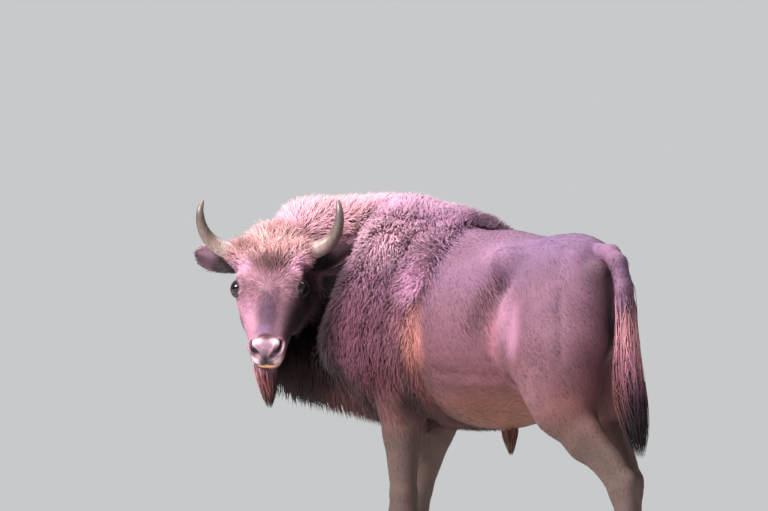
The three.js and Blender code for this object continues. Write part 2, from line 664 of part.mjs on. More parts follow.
// Tail, its tuft, and the tuft under the belly.
const root = bent([745, 0, 1368]);
const TAIL = [
  [root, 40, 38],
  [bent([800, 0, 1362]), 40, 38],
  [[852, 54, 1330], 41, 39],
  [[896, 51, 1244], 41, 39],
  [[904, 51, 1140], 42, 41],
  [[908, 54, 1010], 49, 46],
  [[916, 57, 930], 57, 53],
  [[926, 60, 850], 59, 55],
  [[948, 66, 750], 45, 41],
  [[966, 70, 666], 14, 13],
];
const tail = (grow) => tube(smooth(TAIL, 2), { count: 10, grow });
pieces.tail = keep(tail(0), [0, 0, 985], up);
pieces.tail_tuft = keep(tail(0), [0, 0, 985], down);
for (const part of ["rump", "thigh_left", "thigh_right"]) pieces[part] = largest(pieces[part].subtract(tail(0.6)));

const PREPUCE = [
  [[225, 0, 800], 40, 34],
  [[228, 0, 752], 38, 32],
  [[233, 0, 705], 22, 20],
  [[238, 0, 664], 5, 5],
];
const prepuce = (grow) => tube(PREPUCE, { count: 8, grow });
pieces.prepuce = prepuce(0);
pieces.barrel = largest(pieces.barrel.subtract(prepuce(0.6)));

// ---- the group -----------------------------------------------------------------------------------
const COLOURS = { hoof: 0x2b2422, dewclaw: 0x2b2422, horn: 0x6e6259, eye: 0x120c0a, tuft: 0x2c1a14, beard: 0x3a231b };
const group = new THREE.Group();
for (const [name, piece] of Object.entries(pieces)) {
  const { vertProperties, triVerts, numProp } = piece.getMesh();
  const count = vertProperties.length / numProp;
  const positions = new Float32Array(count * 3);
  for (let i = 0; i < count; i++)
    for (let c = 0; c < 3; c++) positions[3 * i + c] = vertProperties[numProp * i + c] - (ORIGIN[c] ?? 0);
  let geometry = new THREE.BufferGeometry();
  geometry.setAttribute("position", new THREE.BufferAttribute(positions, 3));
  geometry.setIndex(new THREE.BufferAttribute(new Uint32Array(triVerts), 1));
  geometry = mergeVertices(geometry, 1e-3);
  geometry.computeVertexNormals();
  const word = Object.keys(COLOURS).find((key) => name.includes(key));
  const mesh = new THREE.Mesh(geometry, new THREE.MeshStandardMaterial({ color: COLOURS[word] ?? 0x7a4f42, roughness: 0.9 }));
  mesh.name = name;
  group.add(mesh);
}

export default group;
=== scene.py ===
"""A life-size wisent, standing and looking back over its left shoulder: skin, coat, horns, hooves and eyes.

The body is worked out in millimetres in its own frame, where the chest points along -X and the animal's
left is -Y, from the same masses as the solids. One skin is the zero of the field of those masses without
their hair, and every tuft of the coat grows from the skin towards the field with the hair on.
"""

import math

import bmesh
import bpy
import numpy as np
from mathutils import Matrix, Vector
from mathutils.kdtree import KDTree


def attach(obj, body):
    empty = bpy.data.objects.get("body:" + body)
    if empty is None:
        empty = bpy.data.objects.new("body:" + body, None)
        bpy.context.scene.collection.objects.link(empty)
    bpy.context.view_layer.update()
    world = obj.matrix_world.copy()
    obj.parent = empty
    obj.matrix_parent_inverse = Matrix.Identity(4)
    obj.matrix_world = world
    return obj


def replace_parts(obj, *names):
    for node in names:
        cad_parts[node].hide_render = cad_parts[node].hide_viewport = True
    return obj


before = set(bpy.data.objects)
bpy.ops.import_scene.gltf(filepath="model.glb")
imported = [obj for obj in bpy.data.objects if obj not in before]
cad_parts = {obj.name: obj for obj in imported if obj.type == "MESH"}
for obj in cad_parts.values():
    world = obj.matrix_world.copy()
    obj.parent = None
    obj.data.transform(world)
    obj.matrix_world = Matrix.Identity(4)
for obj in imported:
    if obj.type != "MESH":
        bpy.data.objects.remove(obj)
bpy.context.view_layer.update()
rng = np.random.default_rng(20)

PELVIS_YAW = 9.0  # degrees by which the rump is turned to the right of the chest
SPINE_BEND = (250.0, 600.0)  # the stretch of loin over which it turns
ORIGIN = np.array([23.0, -159.5, 0.0])  # the middle of the body's box
SKIN_CELL = 14.0  # size of the facets of the skin, before the head is made finer
SKIN_BOX = np.array([-1170.0, -620.0, 40.0]), np.array([1190.0, 520.0, 1620.0])
PADDING = 0.45  # share of a short coat's depth by which the skin is padded out
SHALLOWEST, DEEPEST = 4.0, 95.0  # bounds of the coat's depth
HOOF_TOP = 78.0
OUTSIDE = 400.0  # the field far from every mass
DOWN = np.array([0.0, 0.0, -1.0])


# ---- vectors -------------------------------------------------------------------------------------

def vec(*values):
    return np.array(values, float)


def unit(v):
    """Each row of v over its length."""
    v = np.asarray(v, float)
    return v / np.maximum(np.linalg.norm(v, axis=-1, keepdims=True), 1e-9)


def smooth_step(lo, hi, x):
    """0 below lo, 1 above hi, and 3t^2 - 2t^3 between; lo may be the larger."""
    t = np.clip((x - lo) / (hi - lo), 0, 1)
    return t * t * (3 - 2 * t)


def bell(x, width):
    """1 where x is 0, falling off to either side over the width."""
    return np.exp(-(x / width) ** 2)


def circle(count):
    """Angles of evenly spaced points round a circle."""
    return np.linspace(0, 2 * math.pi, count, endpoint=False)


def around(a, x, y):
    """The directions at the angles a from x towards y."""
    return np.cos(a)[..., None] * x + np.sin(a)[..., None] * y


def mixed(a, b, w):
    """a to b as w goes from 0 to 1."""
    return a * (1 - w) + b * w


def curve(rows, x):
    """Catmull-Rom curve through the columns of rows, whose first column is x."""
    rows = np.asarray(rows, float)
    last = len(rows) - 1
    i = np.clip(np.searchsorted(rows[:, 0], x, "left") - 1, 0, last - 1)
    p0, p1, p2, p3 = rows[np.maximum(i - 1, 0)], rows[i], rows[i + 1], rows[np.minimum(i + 2, last)]
    span = p2[..., :1] - p1[..., :1]
    t = np.clip((np.asarray(x)[..., None] - p1[..., :1]) / span, 0, 1)
    m1 = (p2 - p0) / (p2[..., :1] - p0[..., :1]) * span
    m2 = (p3 - p1) / (p3[..., :1] - p1[..., :1]) * span
    t2, t3 = t * t, t * t * t
    return (2 * t3 - 3 * t2 + 1) * p1 + (t3 - 2 * t2 + t) * m1 + (3 * t2 - 2 * t3) * p2 + (t3 - t2) * m2


# ---- masses --------------------------------------------------------------------------------------
# Each mass is (lo, hi, k, dist): its box, its blending width, and dist(points, hair), the distance to its
# skin where hair is 0 and to the tips of its coat where hair is 1.

def limb(a, b, ra, rb, n=None, flat=1.0, k=40.0, coat=10.0):
    """A tapered limb from a to b: the distance to the segment less a radius that runs from ra to rb,
    in a space squashed along n so that the limb is `flat` of its radius across."""
    a, b = vec(*a), vec(*b)
    half = (ra + rb) / 2
    grow = max(ra, rb) + coat + k
    across = None if n is None else unit(n)

    def dist(p, hair):
        thick = coat * hair
        squash = 1.0 if across is None else (flat * half + thick) / (half + thick)
        q, ab = p - a, b - a
        if across is not None:
            q = q + (q @ across)[:, None] * across * (1 / squash - 1)
            ab = ab + (ab @ across) * across * (1 / squash - 1)
        h = np.clip(q @ ab / (ab @ ab), 0, 1)
        away = np.linalg.norm(q - h[:, None] * ab, axis=1)
        return (away - ra - (rb - ra) * h - thick) * squash

    return np.minimum(a, b) - grow, np.maximum(a, b) + grow, k, dist


def blob(centre, radii, yaw=0.0, pitch=0.0, axes=None, k=50.0, coat=10.0, fur=False):
    """An ellipsoid turned by yaw and then tilted by pitch, or along given axes. One of fur has no skin."""
    if axes is None:
        cy, sy = math.cos(math.radians(yaw)), math.sin(math.radians(yaw))
        cp, sp = math.cos(math.radians(pitch)), math.sin(math.radians(pitch))
        axes = [[cy * cp, sy * cp, sp], [-sy, cy, 0], [-cy * sp, -sy * sp, cp]]
    axes, centre = np.array(axes, float), vec(*centre)
    grow = max(radii) + coat + k

    def dist(p, hair):
        if fur and hair < 0.5:
            return np.full(len(p), OUTSIDE)
        reach = vec(*radii) + coat * hair
        q = (p - centre) @ axes.T / reach
        k0 = np.linalg.norm(q, axis=1)
        k1 = np.maximum(np.linalg.norm(q / reach, axis=1), 1e-9)
        return np.where(k0 < 1e-6, -min(reach), k0 * (k0 - 1) / k1)

    return centre - grow, centre + grow, k, dist


def loft(stations, to, lo, hi, end=60.0, k=60.0, reach=(0.0, 0.0)):
    """A mass lofted along u of a frame. Each station is u, top, middle, bottom, half width, upper power and
    coat; its section is a superellipse about the middle, and its ends are rounded by `end`."""
    rows = np.array(stations, float)
    first, final = rows[0, 0], rows[-1, 0]

    def dist(p, hair):
        u, v, w = to(p).T
        _, top, middle, bottom, half, power, coat = curve(rows, np.clip(u, first, final)).T
        thick = coat * hair
        tall = np.where(w > middle, top - middle, middle - bottom) + thick
        n = np.where(w > middle, power, 2.3)
        wide = half + thick
        rho = (np.abs(v / wide) ** n + np.abs((w - middle) / tall) ** n) ** (1 / n)
        side = np.where(rho < 1e-6, -wide, np.hypot(v, w - middle) * (1 - 1 / np.maximum(rho, 1e-6)))
        over = np.maximum(first - reach[0] - u, u - final - reach[1])
        outside = np.hypot(np.maximum(side + end, 0), np.maximum(over + end, 0))
        return outside + np.minimum(np.maximum(side, over) + end, 0) - end

    return vec(*lo), vec(*hi), k, dist


def blend(a, b, k):
    """The lower of a and b, rounded where they meet over a width k."""
    h = np.maximum(k - np.abs(a - b), 0) / k
    return np.minimum(a, b) - h * h * k / 4


def cut_at_hooves(d, z):
    """The field ended a little below the top of the hooves."""
    return -blend(-d, -(HOOF_TOP - 4 - z), 6.0)


def field(p, hair, masses):
    """Distance from points to the blended masses, flattened at the top of the hooves."""
    d = np.full(len(p), OUTSIDE)
    for lo, hi, k, dist in masses:
        near = np.flatnonzero(np.all((p > lo) & (p < hi), axis=1))
        if len(near):
            d[near] = blend(d[near], dist(p[near], hair), k)
    return cut_at_hooves(d, p[:, 2])


def gradient(p, hair, masses, step=1.0):
    """Slope of the field by central differences."""
    slope = np.empty_like(p)
    for axis in range(3):
        move = np.zeros(3)
        move[axis] = step
        slope[:, axis] = (field(p + move, hair, masses) - field(p - move, hair, masses)) / (2 * step)
    return slope


def settle(p, masses, most, turns=3):
    """Newton steps that bring points onto the skin."""
    for _ in range(turns):
        d = np.clip(field(p, 0.0, masses), -most, most)
        slope = gradient(p, 0.0, masses)
        p = p - slope * (d / np.maximum((slope ** 2).sum(1), 0.25))[:, None]
    return p


# ---- the bend of the loin ------------------------------------------------------------------------
BEND_RADIUS = (SPINE_BEND[1] - SPINE_BEND[0]) / math.radians(PELVIS_YAW)


def bent(p):
    """From the body standing straight to the one whose loin is bent along an arc."""
    x, y, z = p
    if x <= SPINE_BEND[0]:
        return vec(x, y, z)
    turn = (min(x, SPINE_BEND[1]) - SPINE_BEND[0]) / BEND_RADIUS
    past = max(x - SPINE_BEND[1], 0.0)
    cx = SPINE_BEND[0] + BEND_RADIUS * math.sin(turn) + past * math.cos(turn)
    cy = BEND_RADIUS * (1 - math.cos(turn)) + past * math.sin(turn)
    return vec(cx - y * math.sin(turn), cy + y * math.cos(turn), z)


def straight(p):
    """The reverse of the bend, for an array of points."""
    x, y, z = p.T
    dx, dy = x - SPINE_BEND[0], BEND_RADIUS - y
    turn = np.arctan2(dx, dy)
    yaw = math.radians(PELVIS_YAW)
    ox, oy, _ = bent((SPINE_BEND[1], 0, 0))
    past = turn > yaw
    along = np.where(past, SPINE_BEND[1] + (x - ox) * math.cos(yaw) + (y - oy) * math.sin(yaw),
                     SPINE_BEND[0] + turn * BEND_RADIUS)
    across = np.where(past, (y - oy) * math.cos(yaw) - (x - ox) * math.sin(yaw),
                      BEND_RADIUS - np.hypot(dx, dy))
    before = x <= SPINE_BEND[0]
    return np.stack([np.where(before, x, along), np.where(before, y, across), z], 1)


# ---- the body's masses ---------------------------------------------------------------------------
TRUNK = [
    # x, top, middle, bottom, half width, upper power, coat
    (-640, 1500, 1120, 900, 120, 1.7, 55),
    (-530, 1514, 1100, 835, 178, 1.6, 55),
    (-390, 1516, 1080, 812, 234, 1.5, 55),
    (-250, 1506, 1065, 806, 256, 1.5, 50),
    (-110, 1496, 1060, 786, 270, 1.6, 42),
    (30, 1477, 1060, 772, 282, 1.75, 30),
    (135, 1441, 1060, 766, 284, 1.9, 22),
    (240, 1436, 1070, 772, 274, 2.0, 18),
    (370, 1421, 1100, 818, 246, 2.1, 16),
    (500, 1412, 1140, 870, 212, 2.1, 15),
    (620, 1426, 1170, 940, 166, 2.0, 15),
    (720, 1400, 1190, 1020, 126, 2.0, 15),
    (775, 1345, 1200, 1080, 86, 2.0, 15),
]
NECK = [
    # place, depth radius, narrowing across, coat
    ((-500, 0, 1245), 258, 0.66, 55),
    ((-688, -4, 1262), 232, 0.54, 58),
    ((-804, -86, 1282), 204, 0.56, 56),
    ((-834, -186, 1288), 180, 0.62, 50),
    ((-824, -276, 1278), 136, 0.80, 42),
]
LEGS = {
    # toe, and a chain of place, radius, narrowing across, coat from the body down to the pastern
    "front_left": ((-256, -165), [
        ((-300, -160, 1000), 120, 0.72, 30), ((-195, -182, 880), 84, 0.74, 24),
        ((-205, -178, 740), 68, 0.78, 16), ((-205, -172, 520), 44, 0.95, 9),
        ((-206, -170, 455), 46, 0.95, 7), ((-206, -168, 385), 33, 0.95, 6),
        ((-200, -166, 235), 31, 0.95, 6), ((-204, -165, 165), 38, 1.1, 6), ((-232, -165, 90), 40, 1.05, 6)]),
    "front_right": ((-778, 108), [
        ((-440, 160, 1000), 120, 0.72, 30), ((-455, 165, 880), 84, 0.74, 24),
        ((-515, 140, 740), 66, 0.78, 16), ((-598, 120, 525), 44, 0.95, 9),
        ((-622, 116, 460), 46, 0.95, 7), ((-646, 114, 390), 33, 0.95, 6),
        ((-700, 110, 235), 31, 0.95, 6), ((-722, 108, 165), 38, 1.1, 6), ((-756, 108, 90), 40, 1.05, 6)]),
    "hind_left": ((985, 12), [
        ((655, -70, 1120), 145, 0.66, 14), ((665, -84, 960), 138, 0.66, 14),
        ((692, -80, 850), 100, 0.72, 12), ((792, -46, 745), 76, 0.62, 10),
        ((910, -8, 640), 52, 0.6, 8), ((964, 4, 565), 54, 0.62, 7), ((986, 8, 485), 40, 0.75, 6),
        ((1030, 12, 240), 34, 0.9, 6), ((1036, 12, 165), 39, 1.1, 6), ((1008, 12, 90), 40, 1.05, 6)]),
    "hind_right": ((640, 172), [
        ((590, 122, 1120), 136, 0.64, 14), ((550, 138, 960), 130, 0.64, 14),
        ((540, 152, 850), 98, 0.72, 12), ((612, 162, 740), 76, 0.62, 10),
        ((692, 172, 635), 50, 0.6, 8), ((728, 172, 560), 54, 0.62, 7), ((728, 172, 480), 40, 0.75, 6),
        ((702, 172, 240), 34, 0.9, 6), ((692, 172, 165), 39, 1.1, 6), ((662, 172, 90), 40, 1.05, 6)]),
}
DOCK = [
    # the tail under its hair: place, radius, coat
    (tuple(bent((745, 0, 1368))), 26, 14),
    (tuple(bent((800, 0, 1362))), 25, 14),
    ((852, 54, 1330), 24, 16),
    ((896, 51, 1244), 22, 18),
    ((904, 51, 1140), 18, 22),
    ((908, 54, 1030), 12, 27),
    ((914, 60, 950), 8, 34),
]


def trunk_masses():
    """The barrel of the body with shoulders, hips, croup, buttocks, brisket and sheath."""
    masses = [loft(TRUNK, straight, (-760, -520, 600), (980, 560, 1700), k=40)]
    for s in (-1, 1):
        masses += [
            limb((-400, s * 80, 1380), (-560, s * 165, 1060), 85, 105, k=100, coat=35),
            blob((-400, s * 160, 1080), (150, 95, 200), pitch=20, k=100, coat=30),
            blob(bent((470, s * 178, 1332)), (55, 34, 42), yaw=PELVIS_YAW, k=80, coat=12),
        ]
    for centre in ((610, -86, 1205), (592, 72, 1205)):
        masses.append(blob(bent(centre), (180, 92, 168), yaw=PELVIS_YAW, k=70, coat=14))
    for a, b, ra, rb, k, coat in (
        (bent((772, -58, 1270)), bent((775, -68, 1080)), 44, 54, 80, 14),
        (bent((750, 40, 1270)), bent((748, 46, 1080)), 42, 50, 80, 14),
        (bent((775, -68, 1080)), (784, -44, 826), 50, 42, 60, 12),
        (bent((748, 46, 1080)), (640, 150, 850), 48, 44, 60, 12),
        ((-640, -10, 1010), (-440, 0, 905), 140, 110, 110, 55),
        (bent((600, 0, 950)), bent((590, 0, 862)), 40, 36, 40, 6),
        ((222, 0, 800), (226, 0, 752), 26, 18, 30, 14),
    ):
        masses.append(limb(a, b, ra, rb, k=k, coat=coat))
    return masses


def neck_masses():
    masses = []
    for (a, ra, sa, _), (b, rb, sb, coat) in zip(NECK, NECK[1:]):
        across = np.cross(unit(vec(*b) - vec(*a)), [0, 0, 1])
        masses.append(limb(a, b, ra, rb, across, (sa + sb) / 2, k=80, coat=coat))
    masses.append(limb((-806, -286, 990), (-660, -50, 922), 52, 62, k=90, coat=88))
    masses.append(limb((-842, -206, 1452), (-640, -30, 1450), 44, 52, k=70, coat=62))
    return masses


def leg_masses():
    masses = []
    for _, chain in LEGS.values():
        for i, ((a, ra, sa, _), (b, rb, sb, coat)) in enumerate(zip(chain, chain[1:])):
            masses.append(limb(a, b, ra, rb, (0, 1, 0), (sa + sb) / 2, k=70 if i < 2 else 22, coat=coat))
    return masses


def joint_masses():
    """Knee caps, the points of the hocks with their tendons, and the tendons behind the cannons."""
    masses = []
    for name, (_, chain) in LEGS.items():
        at = [vec(*row[0]) for row in chain]
        if name.startswith("front"):
            masses.append(blob(at[4] + vec(-12, 0, 4), (34, 34, 44), k=24, coat=6))
            masses.append(limb(at[5] + vec(12, 0, 0), at[6] + vec(16, 0, 10), 20, 19, k=20, coat=5))
            masses.append(limb(at[0] + vec(120, 4, -20), at[1] + vec(60, 0, -10), 46, 40, k=60, coat=20))
        else:
            hock = at[5] + vec(42, 0, 34)
            masses.append(limb(at[3] + vec(66, -2, 10), hock, 22, 17, (0, 1, 0), 0.8, k=30, coat=6))
            masses.append(limb(hock, at[6] + vec(22, 0, -30), 19, 19, (0, 1, 0), 0.9, k=26, coat=5))
            masses.append(limb(at[6] + vec(18, 0, 0), at[7] + vec(16, 0, 16), 22, 20, k=20, coat=5))
    return masses


def dock_masses():
    return [limb(a, b, ra, rb, k=12, coat=(ca + cb) / 2) for (a, ra, ca), (b, rb, cb) in zip(DOCK, DOCK[1:])]


# ---- the head ------------------------------------------------------------------------------------
# The head's own frame: f runs down the face, l to the head's left, u out of the forehead.
EYES = vec(-700, -435, 1243)
HEAD_YAW, HEAD_PITCH, HEAD_ROLL = (math.radians(a) for a in (-36.0, -57.0, -0.5))
LEVEL = vec(-math.sin(HEAD_YAW), math.cos(HEAD_YAW), 0)
F = vec(math.cos(HEAD_YAW) * math.cos(HEAD_PITCH), math.sin(HEAD_YAW) * math.cos(HEAD_PITCH),
        math.sin(HEAD_PITCH))
L = LEVEL * math.cos(HEAD_ROLL) - np.cross(F, LEVEL) * math.sin(HEAD_ROLL)
U = np.cross(F, L)
HEAD_AXES = np.array([F, L, U])
SKULL = [
    # f, top, middle, bottom, half width, upper power, coat
    (-205, -14, -60, -130, 84, 2.0, 34),
    (-130, 18, -62, -180, 114, 2.2, 36),
    (-60, 24, -70, -205, 116, 2.3, 24),
    (0, 12, -72, -203, 113, 2.4, 12),
    (60, -2, -72, -186, 102, 2.3, 9),
    (125, -8, -72, -158, 84, 2.2, 7),
    (185, -14, -70, -142, 68, 2.2, 6),
    (225, -28, -72, -130, 60, 2.2, 7),
    (252, -54, -84, -120, 44, 2.2, 8),
]
EYE_AT, EYE_RADIUS = vec(-9, 110, -18), 28.0
EYE_AXIS = unit(vec(0.28, 0.66, 0.70))
HORN = [
    # f, l, u, radius
    (-134, 92, -4, 33), (-147, 142, 8, 32.5), (-160, 190, 24, 29.5), (-180, 224, 50, 25),
    (-206, 244, 88, 19.5), (-242, 249, 124, 13.5), (-288, 240, 138, 5),
]
EAR = [
    # f, l, u, half width, half depth
    (-128, 112, -64, 22, 15), (-137, 155, -58, 38, 20), (-149, 205, -46, 49, 22),
    (-160, 244, -36, 43, 17), (-167, 276, -30, 17, 7),
]
EAR_TURN = 28.0  # how much further forward the tip of the left ear is held
MOUTH_SLOPE, MOUTH_AT = 0.159, (-40.0, -141.0)  # the line between the lips, in f and u


def on_head(q):
    return EYES + np.asarray(q, float) @ HEAD_AXES


def to_head(p):
    return (p - EYES) @ HEAD_AXES.T


def ear_line(s, t):
    """Places on the midline of an ear and its half widths there, t from 0 at the root to 1 at the tip."""
    rows = curve([(i, *row) for i, row in enumerate(EAR)], t * (len(EAR) - 1))[:, 1:]
    turn = EAR_TURN * t if s > 0 else 0 * t
    return on_head(rows[:, :3] * vec(1, s, 1) + turn[:, None] * vec(0, 0, 1)), rows[:, 3], rows[:, 4]


def lip_line(f):
    return MOUTH_AT[1] + MOUTH_SLOPE * (f - MOUTH_AT[0])


def head_masses():
    """Skull, eye sockets, brows, cheek bones, jaw muscles, nostril wings, lips, chin and the forelock."""
    corner = on_head((0, 0, -80))
    masses = [loft(SKULL, to_head, corner - 420, corner + 420, end=30, k=50, reach=(34, 14))]

    def lump(centre, radii, k, coat, fur=False):
        return blob(on_head(centre), radii, axes=HEAD_AXES, k=k, coat=coat, fur=fur)

    for s in (-1, 1):
        masses += [
            lump((-6, s * 86, -26), (50, 36, 36), 34, 5),
            lump((-38, s * 76, -2), (34, 36, 20), 34, 8),
            limb(on_head((34, s * 84, -46)), on_head((120, s * 58, -62)), 22, 14, k=30, coat=6),
            lump((10, s * 74, -138), (86, 34, 56), 40, 8),
            lump((217, s * 44, -46), (30, 22, 22), 14, 2),
            lump((238, s * 25, -83), (25, 31, 19), 14, 3),
        ]
    masses += [
        limb(on_head((20, 0, -16)), on_head((180, 0, -30)), 20, 15, k=34, coat=4),
        lump((216, 0, -48), (30, 44, 27), 18, 1),
        lump((227, 0, -123), (34, 48, 18), 12, 4),
        lump((-158, 0, -8), (96, 106, 42), 60, 26, fur=True),
        limb(on_head((-118, -66, -24)), on_head((-140, -112, 0)), 42, 36, k=30, coat=14),
        limb(on_head((-118, 66, -24)), on_head((-140, 112, 0)), 42, 36, k=30, coat=14),
    ]
    return masses


def skull(p, hair):
    """Distance to the skull with the two bosses that bear the horns."""
    return np.min([HEAD_MASSES[i][3](p, hair) for i in (0, -2, -1)], axis=0)


def in_nostril(f, a, u):
    """Distance from the middle of a nostril, 1 at its edge. It is a comma: a slit high on the outside that
    widens as it comes down and in."""
    inner = smooth_step(60, 32, a)
    across, slant = (a - 44) / 23.0, (u + 38 - 0.55 * (a - 44)) / (8.0 + 5.5 * inner)
    return np.sqrt(across ** 2 + slant ** 2) * np.where(f > 195, 1.0, 3.0)


def face_relief(f, l, u):
    """Height of the fine forms of the face over the skull, in millimetres: nostrils with a raised rim,
    groove of the upper lip, mouth line with rolled lips, edge of the nose pad, creases above it, and the
    tear pits. Most are a height times a bell across their line."""
    a = np.abs(l)
    inside = in_nostril(f, a, u)
    nostril = -17 * np.exp(-(inside ** 3)) + 3.6 * bell(inside - 1.5, 0.42)
    nostril = nostril * smooth_step(196, 206, f)
    groove = -3.6 * bell(l, 3.6) * smooth_step(-56, -64, u) * smooth_step(226, 240, f)
    groove = groove * smooth_step(lip_line(f) - 4, lip_line(f) + 4, u)
    over = u - lip_line(f)
    lips = smooth_step(130, 170, f)
    mouth = (-9.0 * bell(over, 3.6) + 4.5 * bell(over + 12, 7.0) + 1.5 * bell(over - 9, 6.0)) * lips
    edge = 1.6 * smooth_step(190, 200, f) * smooth_step(-78, -66, u) * smooth_step(66, 58, a)
    crease = -1.3 * bell(np.mod(f, 9.0) - 4.5, 1.6)
    crease = crease * smooth_step(168, 178, f) * smooth_step(200, 192, f) * smooth_step(48, 30, a)
    crease = crease * smooth_step(-50, -36, u)
    tear = -3.0 * np.exp(-((f - 30) / 15) ** 2 - ((a - 98) / 12) ** 2 - ((u + 24) / 10) ** 2)
    return nostril + groove + mouth + edge + crease + tear


# ---- muscles and bones under the skin ------------------------------------------------------------
# A form runs from one place to another in body millimetres, on the left side; it has a width and a height,
# and is a hollow where the height is below 0. The right side has the same forms.
FORMS = [
    # point of the hip, and its crest up to the croup
    ([(376, -176, 1322), (390, -170, 1318)], 32, 9),
    ([(388, -158, 1350), (450, -75, 1398), (600, -30, 1408)], 24, 7),
    # hollow of the flank, and under the hip
    ([(462, -200, 1290), (352, -235, 1130)], 66, -13), ([(470, -200, 1262), (560, -165, 1262)], 34, -11),
    # front edge of the thigh with the fold of the flank before it
    ([(572, -178, 1255), (540, -195, 1180), (512, -205, 1100), (502, -200, 1030), (510, -176, 960)], 27, 14),
    ([(462, -212, 1120), (452, -205, 1000), (470, -180, 955), (530, -150, 905)], 22, -10),
    # hip joint to stifle, and the stifle
    ([(602, -160, 1300), (640, -174, 1190)], 24, 7), ([(708, -187, 945), (700, -174, 865)], 24, 10),
    ([(650, -185, 935), (640, -180, 885)], 18, -7), ([(660, -188, 1075), (720, -185, 1000)], 46, -8),
    # parting of the thigh muscles, point of the buttock
    ([(768, -126, 1230), (794, -137, 1000)], 18, -7), ([(742, -48, 1352), (748, -40, 1345)], 28, 10),
    ([(712, -100, 1330), (735, -95, 1270)], 26, -8),
    # fold along the belly
    ([(190, -266, 962), (330, -250, 948), (440, -200, 935)], 15, -8),
    ([(200, -262, 925), (400, -215, 905)], 26, 5),
    # elbow and the hollow behind it
    ([(-130, -256, 885), (-122, -250, 860)], 40, 12), ([(-74, -262, 940), (-70, -228, 850)], 26, -13),
    # blade of the shoulder, and the hollow behind the mane
    ([(-150, -120, 1415), (-188, -180, 1322), (-190, -220, 1235)], 30, -9),
    ([(-250, -150, 1390), (-330, -240, 1130), (-250, -262, 960)], 46, 8),
    # shaded step under the roll of wool along the hump, and where the wool ends
    ([(-440, -128, 1464), (-200, -78, 1452), (60, -16, 1462)], 24, -10),
    ([(80, 0, 1470), (110, 0, 1466)], 30, -8),
]


def body_relief(p):
    """Height of the forms: each is its height times a bell across its line."""
    height = np.zeros(len(p))
    for chain, width, tall in FORMS:
        for mirror in (vec(1, 1, 1), vec(1, -1, 1)):
            line = np.array([bent(place) for place in straight(np.array(chain, float)) * mirror])
            reach = 2.4 * width
            near = np.flatnonzero(np.all((p > line.min(0) - reach) & (p < line.max(0) + reach), axis=1))
            off = np.full(len(near), np.inf)
            for a, b in zip(line, line[1:]):
                t = np.clip((p[near] - a) @ (b - a) / ((b - a) @ (b - a)), 0, 1)
                off = np.minimum(off, np.linalg.norm(p[near] - a - t[:, None] * (b - a), axis=1))
            height[near] += tall * bell(off, width)
    return height


# ---- meshes --------------------------------------------------------------------------------------

def put_mesh(name, vertices, faces):
    """A smooth object at the origin from body points and an array of faces with the same number of sides."""
    points = (vertices - ORIGIN) * 0.001
    faces = np.asarray(faces, np.int32)
    mesh = bpy.data.meshes.new(name)
    mesh.vertices.add(len(points))
    mesh.vertices.foreach_set("co", points.astype(np.float32).ravel())
    mesh.loops.add(faces.size)
    mesh.loops.foreach_set("vertex_index", faces.ravel())
    mesh.polygons.add(len(faces))
    mesh.polygons.foreach_set("loop_start", np.arange(len(faces), dtype=np.int32) * faces.shape[1])
    mesh.update(calc_edges=True)
    mesh.polygons.foreach_set("use_smooth", np.full(len(faces), True))
    piece = bpy.data.objects.new(name, mesh)
    bpy.context.scene.collection.objects.link(piece)
    return piece


def set_tint(piece, rgb):
    layer = piece.data.color_attributes.new("tint", "FLOAT_COLOR", "POINT")
    rgba = np.concatenate([rgb, np.ones((len(rgb), 1))], 1)
    layer.data.foreach_set("color", rgba.astype(np.float32).ravel())


def set_values(piece, name, values, kind="FLOAT", key="value"):
    layer = piece.data.attributes.new(name, kind, "POINT")
    layer.data.foreach_set(key, np.asarray(values, np.float32).ravel())


def dress(piece, material):
    """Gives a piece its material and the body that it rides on."""
    piece.data.materials.append(material)
    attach(piece, "root")


def joined(parts):
    """Points and faces of several meshes as one. Each part starts with its points and its faces."""
    base = np.cumsum([0] + [len(part[0]) for part in parts])
    faces = np.concatenate([part[1] + first for part, first in zip(parts, base)])
    return np.concatenate([part[0] for part in parts]), faces


def grid_faces(rows, columns):
    """Quads of a grid of rows by columns, closed round the columns."""
    i, j = np.meshgrid(np.arange(rows - 1), np.arange(columns), indexing="ij")
    after = (j + 1) % columns
    return np.stack([i * columns + j, i * columns + after, (i + 1) * columns + after,
                     (i + 1) * columns + j], -1).reshape(-1, 4)


def halves(quads):
    """Each quad as two triangles."""
    return np.concatenate([quads[:, [0, 1, 2]], quads[:, [0, 2, 3]]])


